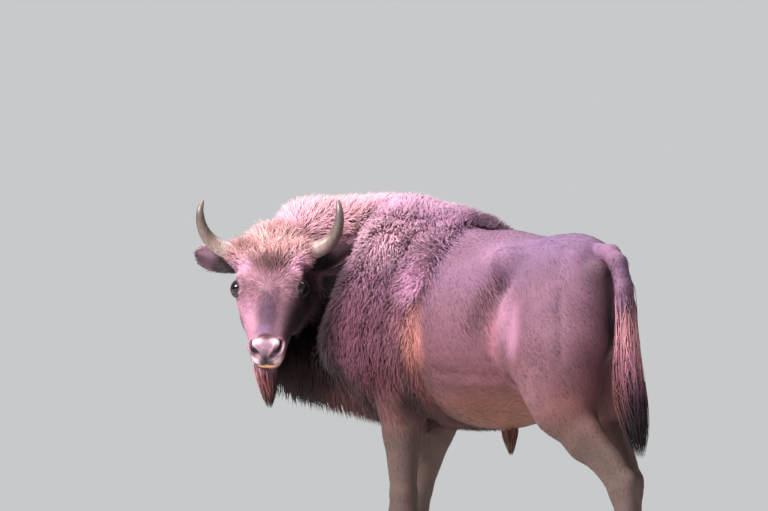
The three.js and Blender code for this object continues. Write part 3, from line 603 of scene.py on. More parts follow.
def net(masses, lo, hi, cell):
    """Surface nets: one vertex in each cell that the surface crosses, at the mean of its crossings, and a
    quad round each crossed grid edge."""
    n = np.ceil((hi - lo) / cell).astype(int) + 1
    value = np.full(n, OUTSIDE)
    axes = [lo[a] + cell * np.arange(n[a]) for a in range(3)]
    for box_lo, box_hi, k, dist in masses:
        cut = [slice(*np.clip(np.searchsorted(axes[a], (box_lo[a], box_hi[a])), 0, n[a])) for a in range(3)]
        grid = np.stack(np.meshgrid(*[axes[a][cut[a]] for a in range(3)], indexing="ij"), -1)
        if grid.size:
            part = value[tuple(cut)]
            value[tuple(cut)] = blend(part, dist(grid.reshape(-1, 3), 0.0).reshape(part.shape), k)
    value = cut_at_hooves(value, axes[2])
    corner = np.stack([value[a:n[0] - 1 + a, b:n[1] - 1 + b, c:n[2] - 1 + c]
                       for a in (0, 1) for b in (0, 1) for c in (0, 1)], -1)
    cells = np.argwhere((corner.min(-1) < 0) & (corner.max(-1) >= 0))
    index = -np.ones(n, int)
    index[tuple(cells.T)] = np.arange(len(cells))
    v = corner[tuple(cells.T)]
    offsets = np.array([(a, b, c) for a in (0, 1) for b in (0, 1) for c in (0, 1)], float)
    total, count = np.zeros((len(cells), 3)), np.zeros(len(cells))
    for i in range(8):
        for j in range(i + 1, 8):
            if abs(offsets[i] - offsets[j]).sum() != 1:
                continue
            crossed = (v[:, i] < 0) != (v[:, j] < 0)
            t = np.where(crossed, v[:, i] / np.where(crossed, v[:, i] - v[:, j], 1), 0)[:, None]
            total += crossed[:, None] * (offsets[i] + (offsets[j] - offsets[i]) * t)
            count += crossed
    vertices = lo + cell * (cells + total / count[:, None])
    quads = []
    for axis in range(3):
        s, t = np.eye(3, dtype=int)[(axis + 1) % 3], np.eye(3, dtype=int)[(axis + 2) % 3]
        ahead = np.roll(value, -1, axis) < 0
        crossed = np.argwhere((value < 0) != ahead)
        crossed = crossed[(crossed[:, axis] < n[axis] - 1) & np.all(crossed > 0, axis=1)]
        around = [index[tuple((crossed - m).T)] for m in (s + t, t, 0 * s, s)]
        quad = np.stack(around, 1)
        inside = value[tuple(crossed.T)] < 0
        quad[~inside] = quad[~inside][:, ::-1]
        quads.append(quad[(quad >= 0).all(1)])
    return vertices, np.concatenate(quads)


# ---- the skin ------------------------------------------------------------------------------------
# extra cuts of each edge on the head, and again on the muzzle: how near the skull, from which f on, how many
FINER = [(26, -150, 3), (30, 176, 1)]


def finer(piece, chosen, cuts):
    """Subdivides the faces whose corners are all chosen."""
    work = bmesh.new()
    work.from_mesh(piece.data)
    work.verts.ensure_lookup_table()
    faces = [face for face in work.faces if all(chosen[v.index] for v in face.verts)]
    edges = list({edge for face in faces for edge in face.edges})
    bmesh.ops.subdivide_edges(work, edges=edges, cuts=cuts, use_grid_fill=True)
    work.to_mesh(piece.data)
    work.free()


def points_of(piece):
    """The vertices in body millimetres."""
    co = np.empty(len(piece.data.vertices) * 3, np.float32)
    piece.data.vertices.foreach_get("co", co)
    return co.reshape(-1, 3).astype(float) * 1000 + ORIGIN


def unwrap(piece):
    """Unwraps a mesh by its own shape into the UV map OFBake."""
    piece.data.uv_layers.new(name="OFBake")
    bpy.context.view_layer.objects.active = piece
    piece.select_set(True)
    bpy.ops.object.mode_set(mode="EDIT")
    bpy.ops.mesh.select_all(action="SELECT")
    bpy.ops.uv.smart_project(angle_limit=math.radians(66), island_margin=0.002)
    bpy.ops.object.mode_set(mode="OBJECT")
    piece.select_set(False)


def mesh_arrays(piece):
    """Points, triangles and the UV of each corner of each triangle."""
    mesh = piece.data
    mesh.calc_loop_triangles()
    count = len(mesh.loop_triangles)
    corners, loops = np.empty(count * 3, np.int32), np.empty(count * 3, np.int32)
    mesh.loop_triangles.foreach_get("vertices", corners)
    mesh.loop_triangles.foreach_get("loops", loops)
    uv = np.empty(len(mesh.loops) * 2, np.float32)
    mesh.uv_layers["OFBake"].data.foreach_get("uv", uv)
    return points_of(piece), corners.reshape(-1, 3), uv.reshape(-1, 2)[loops].reshape(-1, 3, 2)


def normals_of(points, triangles):
    """Area-weighted normals of the vertices."""
    p = points[triangles]
    face = np.cross(p[:, 1] - p[:, 0], p[:, 2] - p[:, 0])
    total = np.zeros_like(points)
    for c in range(3):
        for axis in range(3):
            total[:, axis] += np.bincount(triangles[:, c], face[:, axis], len(points))
    return unit(total)


EAR_ROWS, EAR_ROUND = 26, 32
EAR_HAIR = 7.0  # depth of the hair on the ear's own skin


def ear_skin(s):
    """A cupped leaf carried along the ear's midline: round at the back, hollow at the front, with a rolled
    rim. Rows run from root to tip, and the leaf stands upright with its hollow turned to the face."""
    t = np.linspace(0, 1, EAR_ROWS)
    centre, half, deep = ear_line(s, t)
    along = unit(np.gradient(centre, axis=0))
    wide = unit(-DOWN - along * (along @ -DOWN)[:, None])
    front = unit(np.cross(along, wide)) * s
    a = circle(EAR_ROUND)
    half = np.maximum(half - EAR_HAIR, 2.0)[:, None]
    deep = np.maximum(deep - 3, 2.0)[:, None]
    x = np.cos(a)[None, :]
    bowl = deep * 1.5 * np.clip(1 - x ** 2, 0, 1) ** 0.8 * smooth_step(0.1, 0.45, t)[:, None]
    s_a = np.sin(a)
    y = np.where(s_a > 0, deep * np.abs(s_a) ** 0.6 * 0.9 - bowl, deep * s_a)
    points = (centre[:, None] + wide[:, None] * (x * half)[..., None] + front[:, None] * y[..., None])
    faces = grid_faces(EAR_ROWS, EAR_ROUND)
    faces = faces[:, ::-1] if s < 0 else faces
    ends = [centre[0], centre[-1] + along[-1] * 3]
    return close_ends(points.reshape(-1, 3), faces, EAR_ROWS, EAR_ROUND, ends, flip=s < 0)


def ear_place(p):
    """Where points lie on an ear: the share of the way from its root to its tip, the height across it and the
    place in front of its midline, in half widths. The share is -1 off the ears."""
    share, across, ahead = np.full(len(p), -1.0), np.zeros(len(p)), np.zeros(len(p))
    for s in (-1, 1):
        root, tip = ear_line(s, vec(0, 1))[0]
        along = tip - root
        u = (p - root) @ along / (along @ along)
        centre, half, deep = ear_line(s, np.clip(u, 0, 1))
        away = p - centre
        along = unit(along)
        wide = unit(-DOWN - along * (along @ -DOWN))
        x, y = away @ wide / half, away @ (np.cross(along, wide) * s) / deep
        close = (u > -0.05) & (u < 1.1) & (np.abs(x) < 1.2) & (np.abs(y) < 1.9)
        share[close], across[close], ahead[close] = np.clip(u[close], 0, 1), x[close], y[close]
    return share, across, ahead


def close_ends(points, quads, rows, columns, tips, flip=False):
    """Adds a pole at each end of a tube and gives its points and triangles."""
    first, last = len(points), len(points) + 1
    j = np.arange(columns)
    after = (j + 1) % columns
    start = np.stack([np.full(columns, first), after, j], 1)
    base = (rows - 1) * columns
    end = np.stack([np.full(columns, last), base + j, base + after], 1)
    caps = np.concatenate([start, end])
    if flip:
        caps = caps[:, ::-1]
    return np.concatenate([points, tips]), np.concatenate([halves(quads), caps])


def from_eye(p, s):
    """Distance of points from an eye's centre, and the cosines of their bearing to its axis and its brow."""
    centre, axis, _, brow = eye_frame(s)
    away = p - centre
    r = np.linalg.norm(away, axis=1)
    return r, (away @ axis) / np.maximum(r, 1e-6), (away @ brow) / np.maximum(r, 1e-6)


def eye_frame(s):
    """The eye's centre, its axis, and two directions across it: along the face and up the brow."""
    axis = unit((EYE_AXIS * vec(1, s, 1)) @ HEAD_AXES)
    down_face = unit(F - axis * (F @ axis))
    return on_head(EYE_AT * vec(1, s, 1)), axis, down_face, np.cross(axis, down_face) * s


LID_ROWS, LID_ROUND = 14, 56


def lid_skin(s):
    """Both lids of an eye: a collar over the eyeball from an almond-shaped opening out to the socket. Its
    height over the ball rises in a thick margin, dips in a fold and sinks into the skin."""
    centre, axis, along, brow = eye_frame(s)
    a = circle(LID_ROUND)
    upper = smooth_step(-0.2, 0.6, np.sin(a))
    corner = smooth_step(0.7, 1.0, np.cos(a))
    opening = np.radians(58 - 14 * np.abs(np.sin(a)) ** 1.4 + 3 * upper + 10 * corner)
    t = np.linspace(0, 1, LID_ROWS)[:, None]
    angle = opening + (math.radians(108) - opening) * t ** 1.2
    fold = -1.6 * bell(t - 0.42, 0.07) * (0.4 + 0.6 * upper)
    height = EYE_RADIUS - 0.6 + 4.4 * smooth_step(0, 0.14, t) + 3.0 * smooth_step(0.2, 0.6, t) + fold
    height = height - 14 * smooth_step(0.75, 1.0, t)
    points = centre + height[..., None] * around(angle, axis, around(a, along, brow))
    faces = grid_faces(LID_ROWS, LID_ROUND)
    return points.reshape(-1, 3), halves(faces[:, ::-1] if s > 0 else faces)


def make_skin():
    """One skin for all the flesh: the net of the field, finer on the head, with the relief of body and face.
    Where the coat is short the skin is padded out. The ears and lids are joined to it, each with a strip of
    the UV map. Gives the piece and its points, triangles, normals and UV corners."""
    points, quads = net(MASSES, *SKIN_BOX, SKIN_CELL)
    draft = put_mesh("skin_draft", points, quads)
    unwrap(draft)
    for reach, start, cuts in FINER:
        body = points_of(draft)
        finer(draft, (skull(body, 0.0) < reach) & (to_head(body)[:, 0] > start), cuts)
    body, triangles, uv = mesh_arrays(draft)
    body = settle(body, MASSES, 6.0)
    bpy.data.objects.remove(draft)
    near = np.flatnonzero((skull(body, 0.0) < 30) & (to_head(body)[:, 0] > -60))
    normals = normals_of(body, triangles)
    deep = -field(body, 1.0, MASSES)
    padding = PADDING * deep * smooth_step(30, 18, deep) * smooth_step(20, 40, skull(body, 0.0))
    body += normals * (body_relief(body) + padding)[:, None]
    body[near] += normals[near] * face_relief(*to_head(body[near]).T)[:, None]
    extras = [make(s) for make in (ear_skin, lid_skin) for s in (-1, 1)]
    corners = [uv * 0.96]
    for row, (points, faces) in enumerate(extras):
        share = np.arange(len(points)) / len(points)
        strip = np.stack([share * 0.9 + 0.02, np.full(len(points), 0.966 + 0.008 * row)], 1)
        corners.append(strip[faces])
    body, triangles = joined([(body, triangles), *extras])
    skin = put_mesh("skin", body, triangles)
    return skin, body, triangles, normals_of(body, triangles), np.concatenate(corners)


# ---- markings ------------------------------------------------------------------------------------
# Colours are linear. A patch is a centre and radii in body millimetres, a colour and its strength.
BY_HEIGHT = [
    (700, 0.055, 0.033, 0.027), (860, 0.092, 0.033, 0.031), (1000, 0.086, 0.031, 0.041),
    (1150, 0.108, 0.046, 0.065), (1300, 0.120, 0.057, 0.094), (1480, 0.24, 0.125, 0.20),
]
# body millimetres; those with y other than 0 lie on both sides
PATCHES = [
    # roll of wool on the hump: painted highlight on its top, painted shade under it and where it ends
    ((-360, 0, 1560), (360, 300, 90), (0.54, 0.320, 0.430), 0.88),
    ((-250, 57, 1475), (330, 60, 26), (0.32, 0.175, 0.26), 0.7),
    ((64, 0, 1470), (90, 90, 34), (0.095, 0.050, 0.075), 0.85),
    # pale sheen from the side of the hump down behind the shoulder
    ((-400, 190, 1385), (220, 150, 95), (0.35, 0.198, 0.250), 0.85),
    ((-385, 140, 1440), (190, 120, 50), (0.56, 0.325, 0.400), 0.8),
    ((-390, 250, 1240), (170, 120, 100), (0.29, 0.148, 0.215), 0.85),
    ((-80, 150, 1390), (120, 140, 80), (0.60, 0.34, 0.46), 0.8),
    ((-60, 230, 1275), (110, 110, 90), (0.62, 0.31, 0.46), 0.8),
    ((-95, 250, 1120), (60, 120, 110), (0.20, 0.085, 0.11), 0.8),
    # shoulder and upper arm
    ((-370, 240, 1090), (190, 160, 210), (0.120, 0.046, 0.070), 0.88),
    ((-300, 215, 875), (190, 130, 130), (0.056, 0.018, 0.021), 0.88),
    # the rusty stripe behind the elbow, and painted shade in the hollow under it
    ((32, 280, 1098), (74, 130, 100), (0.41, 0.178, 0.162), 0.70),
    ((62, 270, 1010), (68, 120, 105), (0.33, 0.125, 0.105), 0.66),
    ((-60, 215, 850), (60, 90, 90), (0.018, 0.011, 0.010), 0.9),
    # painted shade along the fold of the belly, and the belly's underside
    ((150, 265, 950), (170, 80, 55), (0.055, 0.021, 0.022), 0.7),
    ((380, 0, 810), (250, 330, 90), (0.140, 0.054, 0.034), 0.85),
    # painted shade in the hollow of the flank, and the paler fold before the thigh
    ((485, 205, 1235), (75, 90, 85), (0.080, 0.035, 0.046), 0.75),
    ((412, 230, 1150), (62, 90, 115), (0.066, 0.027, 0.036), 0.78),
    ((455, 215, 1070), (40, 60, 90), (0.24, 0.090, 0.115), 0.6),
    # loin, croup, hips and thighs, with painted shade beside the dock and on the lower thigh, and painted
    # highlights on the thigh's front edge and the stifle
    ((205, 150, 1370), (110, 110, 70), (0.100, 0.047, 0.070), 0.8),
    ((270, 0, 1440), (190, 220, 75), (0.110, 0.046, 0.082), 0.85),
    ((590, 0, 1410), (230, 260, 90), (0.100, 0.051, 0.108), 0.9),
    ((600, 175, 1295), (150, 110, 80), (0.094, 0.048, 0.086), 0.85),
    # painted shade in the hollow beside the dock
    ((812, 70, 1300), (60, 60, 70), (0.070, 0.036, 0.056), 0.8),
    # thigh, with painted shade on its lower part, and painted highlights down its front edge and over the
    # stifle
    ((680, 180, 1170), (150, 120, 150), (0.125, 0.058, 0.086), 0.85),
    ((700, 180, 990), (120, 110, 90), (0.085, 0.037, 0.048), 0.85),
    ((525, 205, 1130), (48, 60, 120), (0.27, 0.130, 0.190), 0.75),
    ((640, 180, 890), (100, 110, 80), (0.135, 0.062, 0.072), 0.75),
]
# places that have no like on the other side: crest and side of the neck, throat, beard, between the buttocks;
# most are painted shade
SINGLE_PATCHES = [
    ((-740, -170, 1510), (240, 260, 120), (0.41, 0.222, 0.240), 0.85),
    # side of the neck: painted shade of the head's shadow on the left, behind the jaw and below the ear, and
    # darker on the right
    ((-645, -190, 1290), (100, 110, 130), (0.024, 0.012, 0.017), 0.95),
    ((-640, -300, 1150), (175, 180, 200), (0.018, 0.009, 0.013), 0.96),
    ((-690, 220, 1130), (200, 190, 270), (0.050, 0.026, 0.034), 0.7),
    ((-570, -262, 1296), (95, 80, 85), (0.014, 0.007, 0.010), 0.95),
    ((-545, -215, 1240), (70, 90, 120), (0.045, 0.022, 0.032), 0.8),
    ((-715, -228, 1095), (80, 70, 110), (0.012, 0.007, 0.009), 0.95),
    ((-700, -235, 1230), (95, 95, 170), (0.006, 0.004, 0.005), 0.97),
    # throat and under the jaw: dark hair with painted shade under the head, and a paler patch low on the
    # throat
    ((-700, -160, 930), (230, 240, 190), (0.018, 0.010, 0.011), 0.97),
    ((-595, -190, 880), (150, 130, 70), (0.085, 0.034, 0.034), 0.8),
    ((-800, -300, 985), (130, 130, 120), (0.018, 0.010, 0.011), 0.95),
    # beard: a painted highlight on its lit side, a dark foot, and painted shade on its other side
    ((-742, -468, 950), (44, 42, 90), (0.190, 0.098, 0.100), 0.9),
    ((-730, -440, 826), (90, 90, 48), (0.016, 0.010, 0.010), 0.9),
    ((-688, -400, 900), (52, 44, 120), (0.016, 0.010, 0.010), 0.97),
    # a paler patch on the back of the buttock, and painted shade between the buttocks
    ((806, 10, 1190), (46, 52, 140), (0.170, 0.080, 0.095), 0.7),
    ((858, 44, 1100), (36, 36, 250), (0.008, 0.004, 0.006), 0.98),
]
LEG_LOW, LEG_HIGH = (0.036, 0.024, 0.023), (0.066, 0.041, 0.034)
TAIL_Y = 58.0  # the side-to-side place of the tail's middle
TAIL_BY_HEIGHT = [
    (760, 0.010, 0.007, 0.009), (870, 0.022, 0.013, 0.017), (990, 0.21, 0.090, 0.115),
    (1110, 0.30, 0.135, 0.145), (1185, 0.12, 0.060, 0.088), (1330, 0.11, 0.058, 0.105),
]
FACE = (0.215, 0.108, 0.136)
FACE_PATCHES = [
    # in the head's frame: forelock, dark V of the brow, temples, whorl, streak down the nose, cheeks, jaw,
    # throat latch, and the surrounds of the eyes, with painted highlight and painted shade where light falls
    ((-160, 0, 20), (95, 190, 90), (0.31, 0.170, 0.162), 0.9),
    ((-138, -74, 20), (30, 72, 60), (0.185, 0.096, 0.090), 0.8),
    ((-80, -132, 0), (28, 26, 40), (0.42, 0.23, 0.32), 0.8),
    ((-72, 2, 20), (34, 62, 60), (0.045, 0.021, 0.021), 0.85),
    ((-40, 40, 10), (26, 26, 40), (0.13, 0.062, 0.080), 0.75),
    ((-44, -46, 10), (22, 22, 40), (0.17, 0.082, 0.105), 0.6),
    # painted highlight on the brow over the left eye, and the paler brow over the right
    ((-74, 94, 12), (30, 36, 34), (0.62, 0.33, 0.45), 0.85),
    ((-70, -92, 12), (30, 36, 34), (0.36, 0.19, 0.27), 0.7),
    # whorl, and the streak down the nose to its foot
    ((6, 0, 10), (44, 70, 40), (0.150, 0.074, 0.092), 0.75),
    ((100, 0, -4), (98, 39, 32), (0.052, 0.028, 0.050), 0.92),
    ((172, -6, -10), (20, 36, 24), (0.12, 0.066, 0.125), 0.8),
    # paler right cheek, and painted shade over the left cheek
    ((110, -74, -40), (110, 34, 50), (0.30, 0.145, 0.215), 0.75),
    ((90, 100, -60), (160, 64, 88), (0.012, 0.008, 0.011), 0.97),
    # right jaw, painted shade behind the left jaw under the ear, and dark hair with painted shade under the
    # jaw
    ((30, -118, -105), (140, 40, 66), (0.070, 0.038, 0.048), 0.85),
    ((-40, 128, -90), (80, 60, 80), (0.018, 0.011, 0.014), 0.95),
    ((120, 0, -165), (170, 110, 42), (0.035, 0.020, 0.022), 0.92),
    # reddish top of the pad, the tear pits, and a paler patch behind the right eye
    ((196, -3, -14), (11, 27, 22), (0.050, 0.015, 0.014), 0.95),
    ((29, -100, -18), (13, 10, 13), (0.024, 0.013, 0.016), 0.9),
    ((0, -128, -34), (40, 16, 34), (0.15, 0.075, 0.100), 0.85),
    ((29, 100, -18), (20, 20, 18), (0.024, 0.013, 0.016), 0.9),
    # painted shade under the brow over the right eye, and round the left eye
    ((-30, -106, -6), (12, 26, 16), (0.040, 0.021, 0.028), 0.88),
    ((-22, 112, -14), (36, 32, 32), (0.018, 0.011, 0.014), 0.96),
]
PAD, LIP, LIP_HAIR = (0.21, 0.12, 0.155), (0.55, 0.32, 0.15), (0.52, 0.38, 0.38)
# painted shade inside the nostrils, along the mouth and down the groove of the upper lip; dark skin round the
# eyes; pale lid margins
NOSTRIL_AND_CREASE_SHADE, EYE_RING, LID_RIM = (0.020, 0.012, 0.015), (0.022, 0.013, 0.016), (0.24, 0.165, 0.20)
PAD_PATCHES = [
    # with the head's l taken without its sign: dark middle, painted highlights on the wet lobes over the
    # nostrils, brown top
    ((232, 0, -50), (40, 17, 24), (0.090, 0.055, 0.066), 0.85),
    ((208, 38, -22), (18, 25, 18), (0.52, 0.39, 0.44), 0.95),
    ((200, 0, -16), (9, 22, 20), (0.060, 0.018, 0.016), 0.9),
]
# the ear: its back, painted shade in its hollow, and a painted highlight along its rim
EAR_HOLLOW_SHADE, EAR_BACK, EAR_RIM_HIGHLIGHT = (0.014, 0.008, 0.010), (0.090, 0.052, 0.080), (0.30, 0.17, 0.225)


def painted(rgb, p, patches):
    """Lays soft elliptical patches of colour over rgb, each of weight exp(-(distance/radius)^4)."""
    for centre, radii, colour, strength in patches:
        near = (((p - centre) / radii) ** 2).sum(1)
        rgb = mixed(rgb, colour, strength * np.exp(-near ** 2)[:, None])
    return rgb


def mottle(p, scale):
    """A smooth wandering value between -1 and 1: three crossed sine waves of unlike lengths."""
    x, y, z = (p / scale).T
    first = np.sin(1.7 * x + 2.3 * np.sin(0.9 * y + 0.7 * z))
    second = np.sin(2.1 * y + 1.9 * np.sin(1.1 * z + 0.8 * x))
    return (first + second + np.sin(1.9 * z + 2.1 * np.sin(0.8 * x + 1.2 * y))) / 3


def by_height(z, stops):
    """Colour at the heights z from rows of height, red, green and blue, with straight lines between them."""
    height, *channels = np.array(stops).T
    return np.stack([np.interp(z, height, channel) for channel in channels], 1)


def nose_pad(q):
    """1 on the bare pad of the nose, 0 off it, with soft edges."""
    f, l, u = q.T
    top = smooth_step(194, 202, f - 0.004 * l ** 2)
    return top * smooth_step(-84, -74, u - 0.004 * l ** 2) * smooth_step(68, 60, np.abs(l))


def markings(p):
    """Colour of the coat at body points, used by the skin and by every tuft, with painted highlights and
    painted shade.
    """
    rgb = by_height(p[:, 2], BY_HEIGHT)
    mirrored = straight(p)
    calm = 0.5 * smooth_step(20, 150, mirrored[:, 1:2])  # the patches are half as strong on the right
    mirrored = mirrored * vec(1, 0, 1) + np.abs(mirrored) * vec(0, 1, 0)
    rgb = mixed(painted(rgb, mirrored, PATCHES), rgb, calm)
    rgb = painted(rgb, p, SINGLE_PATCHES)
    low = smooth_step(760, 520, p[:, 2])[:, None]
    legs = vec(*LEG_LOW) + (vec(*LEG_HIGH) - vec(*LEG_LOW)) * smooth_step(250, 600, p[:, 2])[:, None]
    rgb = mixed(rgb, legs, low)
    behind = smooth_step(862, 880, p[:, 0] + (p[:, 2] - 1235) * -0.10)
    tail = smooth_step(60, 30, np.abs(p[:, 1] - TAIL_Y)) * behind
    tail = (tail * smooth_step(600, 660, p[:, 2]))[:, None]
    rgb = mixed(rgb, by_height(p[:, 2], TAIL_BY_HEIGHT), tail)
    q = to_head(p)
    head = smooth_step(34, 10, skull(p, 1.0))[:, None]
    rgb = mixed(rgb, painted(np.tile(FACE, (len(p), 1)), q, FACE_PATCHES), head)
    share, across, ahead = ear_place(p)
    ear = smooth_step(0.0, 0.12, share)[:, None]
    # painted shade in the ear's hollow, and a painted highlight on its rim, strongest on the upper edge
    hollow = smooth_step(-0.08, 0.08, ahead + 0.80 - 0.65 * across ** 2)[:, None]
    own = mixed(vec(*EAR_BACK), vec(*EAR_HOLLOW_SHADE), hollow)
    rim = (smooth_step(0.70, 0.96, np.abs(across)) + 0.55 * smooth_step(0.46, 0.74, share)).clip(0, 1)
    rim = (rim * (0.25 + 0.75 * smooth_step(-0.35, 0.35, across)))[:, None]
    rgb = mixed(rgb, mixed(own, EAR_RIM_HIGHLIGHT, rim), ear)
    return rgb * (1 + 0.10 * mottle(p, 46)[:, None] + 0.06 * mottle(p, 17)[:, None])


def skin_markings(p):
    """The coat's colour, with the bare nose pad, lips and lid margins, and painted shade inside the nostrils,
    along the mouth and in the groove of the upper lip.
    """
    rgb = markings(p)
    q = to_head(p)
    f, l, u = q.T
    a = np.abs(l)
    on_skull = smooth_step(40, 20, skull(p, 0.0))
    pad = (nose_pad(q) * on_skull)[:, None]
    mirrored = np.stack([f, a, u], 1)
    rgb = mixed(rgb, painted(np.tile(PAD, (len(p), 1)), mirrored, PAD_PATCHES), pad)
    over = u - lip_line(f)
    lip = smooth_step(-23, -18, over) * smooth_step(2, -2, over) * smooth_step(172, 196, f) * on_skull
    rgb = mixed(rgb, LIP, lip[:, None])
    white = np.exp(-((a - 40) / 15) ** 4 - ((over - 19) / 12) ** 4) * smooth_step(218, 230, f) * on_skull
    rgb = mixed(rgb, LIP_HAIR, white[:, None])
    # painted shade inside the nostrils, along the mouth line and down the groove of the upper lip
    dark = smooth_step(1.15, 0.75, in_nostril(f, a, u)) * smooth_step(196, 206, f) * on_skull
    dark = np.maximum(dark, bell(over, 2.2) * smooth_step(150, 200, f) * on_skull)
    middle = np.exp(-(l / 24) ** 4) * smooth_step(-44, -56, u) * smooth_step(0, 4, over)
    middle = middle * smooth_step(214, 230, f)
    dark = np.maximum(dark, 0.97 * middle * on_skull)[:, None]
    rgb = mixed(rgb, NOSTRIL_AND_CREASE_SHADE, dark)
    for s in (-1, 1):
        r, facing, over = from_eye(p, s)
        ring = smooth_step(54, 44, r) * smooth_step(0.05, 0.30, facing)
        rim = bell(facing - 0.50, 0.08) * smooth_step(-0.2, -0.5, over) * (r < 38)
        rgb = mixed(mixed(rgb, EYE_RING, ring[:, None]), LID_RIM, 0.7 * rim[:, None])
    return rgb


# ---- the lie and length of the coat --------------------------------------------------------------
POLL = vec(-745, -345, 1345)


def lie(p, n):
    """Direction in which the coat lies: away from the poll on the neck, back and down on the trunk, down on
    the legs and tail, and away from the whorl between the eyes on the face."""
    q = to_head(p)
    side = 1 - n[:, 2:3] ** 2
    trunk = np.concatenate([np.ones((len(p), 1)), 0 * side, -0.15 - 0.75 * side], 1)
    yaw = math.radians(PELVIS_YAW)
    turned = np.stack([trunk[:, 0] * math.cos(yaw), trunk[:, 0] * math.sin(yaw), trunk[:, 2]], 1)
    rump = smooth_step(250, 600, p[:, 0:1])
    t = unit(mixed(trunk, turned, rump))
    neck = smooth_step(-520, -680, p[:, 0:1])
    t = mixed(t, unit(unit(p - POLL) + 0.75 * DOWN), neck)
    low = smooth_step(900, 740, p[:, 2:3])
    t = mixed(t, unit(vec(0.12, 0, -1)), low)
    tail = smooth_step(840, 870, p[:, 0]) * smooth_step(640, 700, p[:, 2])
    tail = (tail * smooth_step(70, 45, np.abs(p[:, 1] - TAIL_Y)))[:, None]
    t = mixed(t, unit(vec(0.10, 0, -1)), tail)
    head = smooth_step(40, 14, skull(p, 0.0))[:, None]
    whorl = (q[:, 0:1] - 8) * F + q[:, 1:2] * L - (14 + 0.4 * np.maximum(-q[:, 2:3] - 30, 0)) * U
    t = mixed(t, unit(whorl), head)
    share, across, _ = ear_place(p)
    outwards = np.sign(q[:, 1:2]) * L * 0.9 - 0.35 * F - 0.55 * across[:, None] * DOWN
    ear = smooth_step(-0.5, 0.0, share)[:, None]
    t = mixed(t, unit(outwards), ear)
    t = t - n * (t * n).sum(1, keepdims=True)
    return unit(t + 1e-6)


def coat_depth(p):
    """How far the tips of the coat stand over the skin, in millimetres."""
    return np.clip(body_relief(p).clip(0) - field(p, 1.0, MASSES), SHALLOWEST, DEEPEST)


# ---- tufts ---------------------------------------------------------------------------------------
PATCH = 0.003  # size of a tuft's patch on the unwrap
ROUND = np.radians([90.0, 210.0, 330.0])


def tuft_lines(p, n, t, length, rise, stations, bend, droop, close):
    """Middle lines of tufts, and the way across each. A line leaves the skin steeply, levels out as it goes,
    turns sideways by `bend` in all, and sags by `droop` towards its tip. rise is the mean sine of its slope.
    Where close is 1 the tuft is pressed to the skin: it rises over its first two thirds, then sinks."""
    side = np.cross(n, t)
    slope = np.arcsin(np.clip(rise, 0.03, 0.95))
    steps = stations - 1
    line = [p - n * np.minimum(2.0, 0.06 * length)[:, None]]
    for j in range(steps):
        u = (j + 0.5) / steps
        angle = slope * ((1.45 - 0.95 * u) * (1 - close) + (2.0 - 2.9 * u) * close)
        ahead = around(np.clip(angle, -0.3, 1.5), around(bend * u, t, side), n)
        ahead = unit(ahead + droop[:, None] * u * DOWN)
        line.append(line[-1] + ahead * (length / steps)[:, None])
    return np.stack(line, 1), side


def sample_skin(points, triangles, normals, uv, weight, count):
    """Random roots on the skin with a chance in proportion to area times weight, evenly spread: one in each
    equal share of the whole. Gives places, normals, UVs."""
    p = points[triangles]
    area = 0.5 * np.linalg.norm(np.cross(p[:, 1] - p[:, 0], p[:, 2] - p[:, 0]), axis=1)
    total = np.cumsum(area * weight)
    pick = np.searchsorted(total, (np.arange(count) + rng.random(count)) / count * total[-1])
    pick = np.minimum(pick, len(triangles) - 1)
    r1, r2 = np.sqrt(rng.random(count)), rng.random(count)
    w = np.stack([1 - r1, r1 * (1 - r2), r1 * r2], 1)[..., None]
    place = (p[pick] * w).sum(1)
    normal = unit((normals[triangles[pick]] * w).sum(1))
    return place, normal, (uv[pick] * w).sum(1)


# ---- the coat ------------------------------------------------------------------------------------
BODY_TUFTS = 103_000
LONG_HAIR = 44.0  # a tuft longer than this has one more station
# shade at the root and at the tip, the darker root being painted shade deep in the coat, thickness for its
# width, and how far the normals follow the skin's, by the number of a tuft's stations, and for the hanging
# locks
LOOKS = {3: (0.90, 1.06, 0.24, 0.72), 4: (0.87, 1.07, 0.45, 0.80), 5: (0.74, 1.06, 0.5, 0.70)}
LOCK_LOOK = (0.85, 1.10, 0.5, 0.55)


def bare(p):
    """1 where no hair grows: nose pad, nostrils, lower lip and the rims of the lids."""
    q = to_head(p)
    f, l, u = q.T
    over = u - lip_line(f)
    naked = (nose_pad(q) > 0.35) | ((over > -22) & (over < 4) & (f > 200) & (np.abs(l) < 60))
    naked = naked & (skull(p, 0.0) < 30)
    for s in (-1, 1):
        r, facing, _ = from_eye(p, s)
        naked |= (r < 42) & (facing > 0.25)
    return naked


def density(p):
    """Tufts for a unit of area, against 1 on the trunk: more where the hair is short, none on bare skin."""
    q = to_head(p)
    head = smooth_step(40, 15, skull(p, 0.0))
    face = head * smooth_step(-110, -50, q[:, 0])
    poll = head * smooth_step(-50, -110, q[:, 0])
    leg = smooth_step(760, 640, p[:, 2])
    ear = ear_place(p)[0] >= 0
    deep = smooth_step(20, 36, coat_depth(p)) * (1 - head)
    return np.where(bare(p), 0, 1 + 0.9 * deep + 5.0 * face + 4.5 * poll + 0.3 * leg + 4.0 * ear)


def near_ear(p):
    """1 within 60 mm of an ear's midline, falling to 0 at 120 mm."""
    close = np.zeros(len(p))
    for s in (-1, 1):
        along = ear_line(s, vec(0.25, 0.5, 0.75, 1))[0]
        away = np.min([np.linalg.norm(p - place, axis=1) for place in along], axis=0)
        close = np.maximum(close, smooth_step(120, 60, away))
    return close


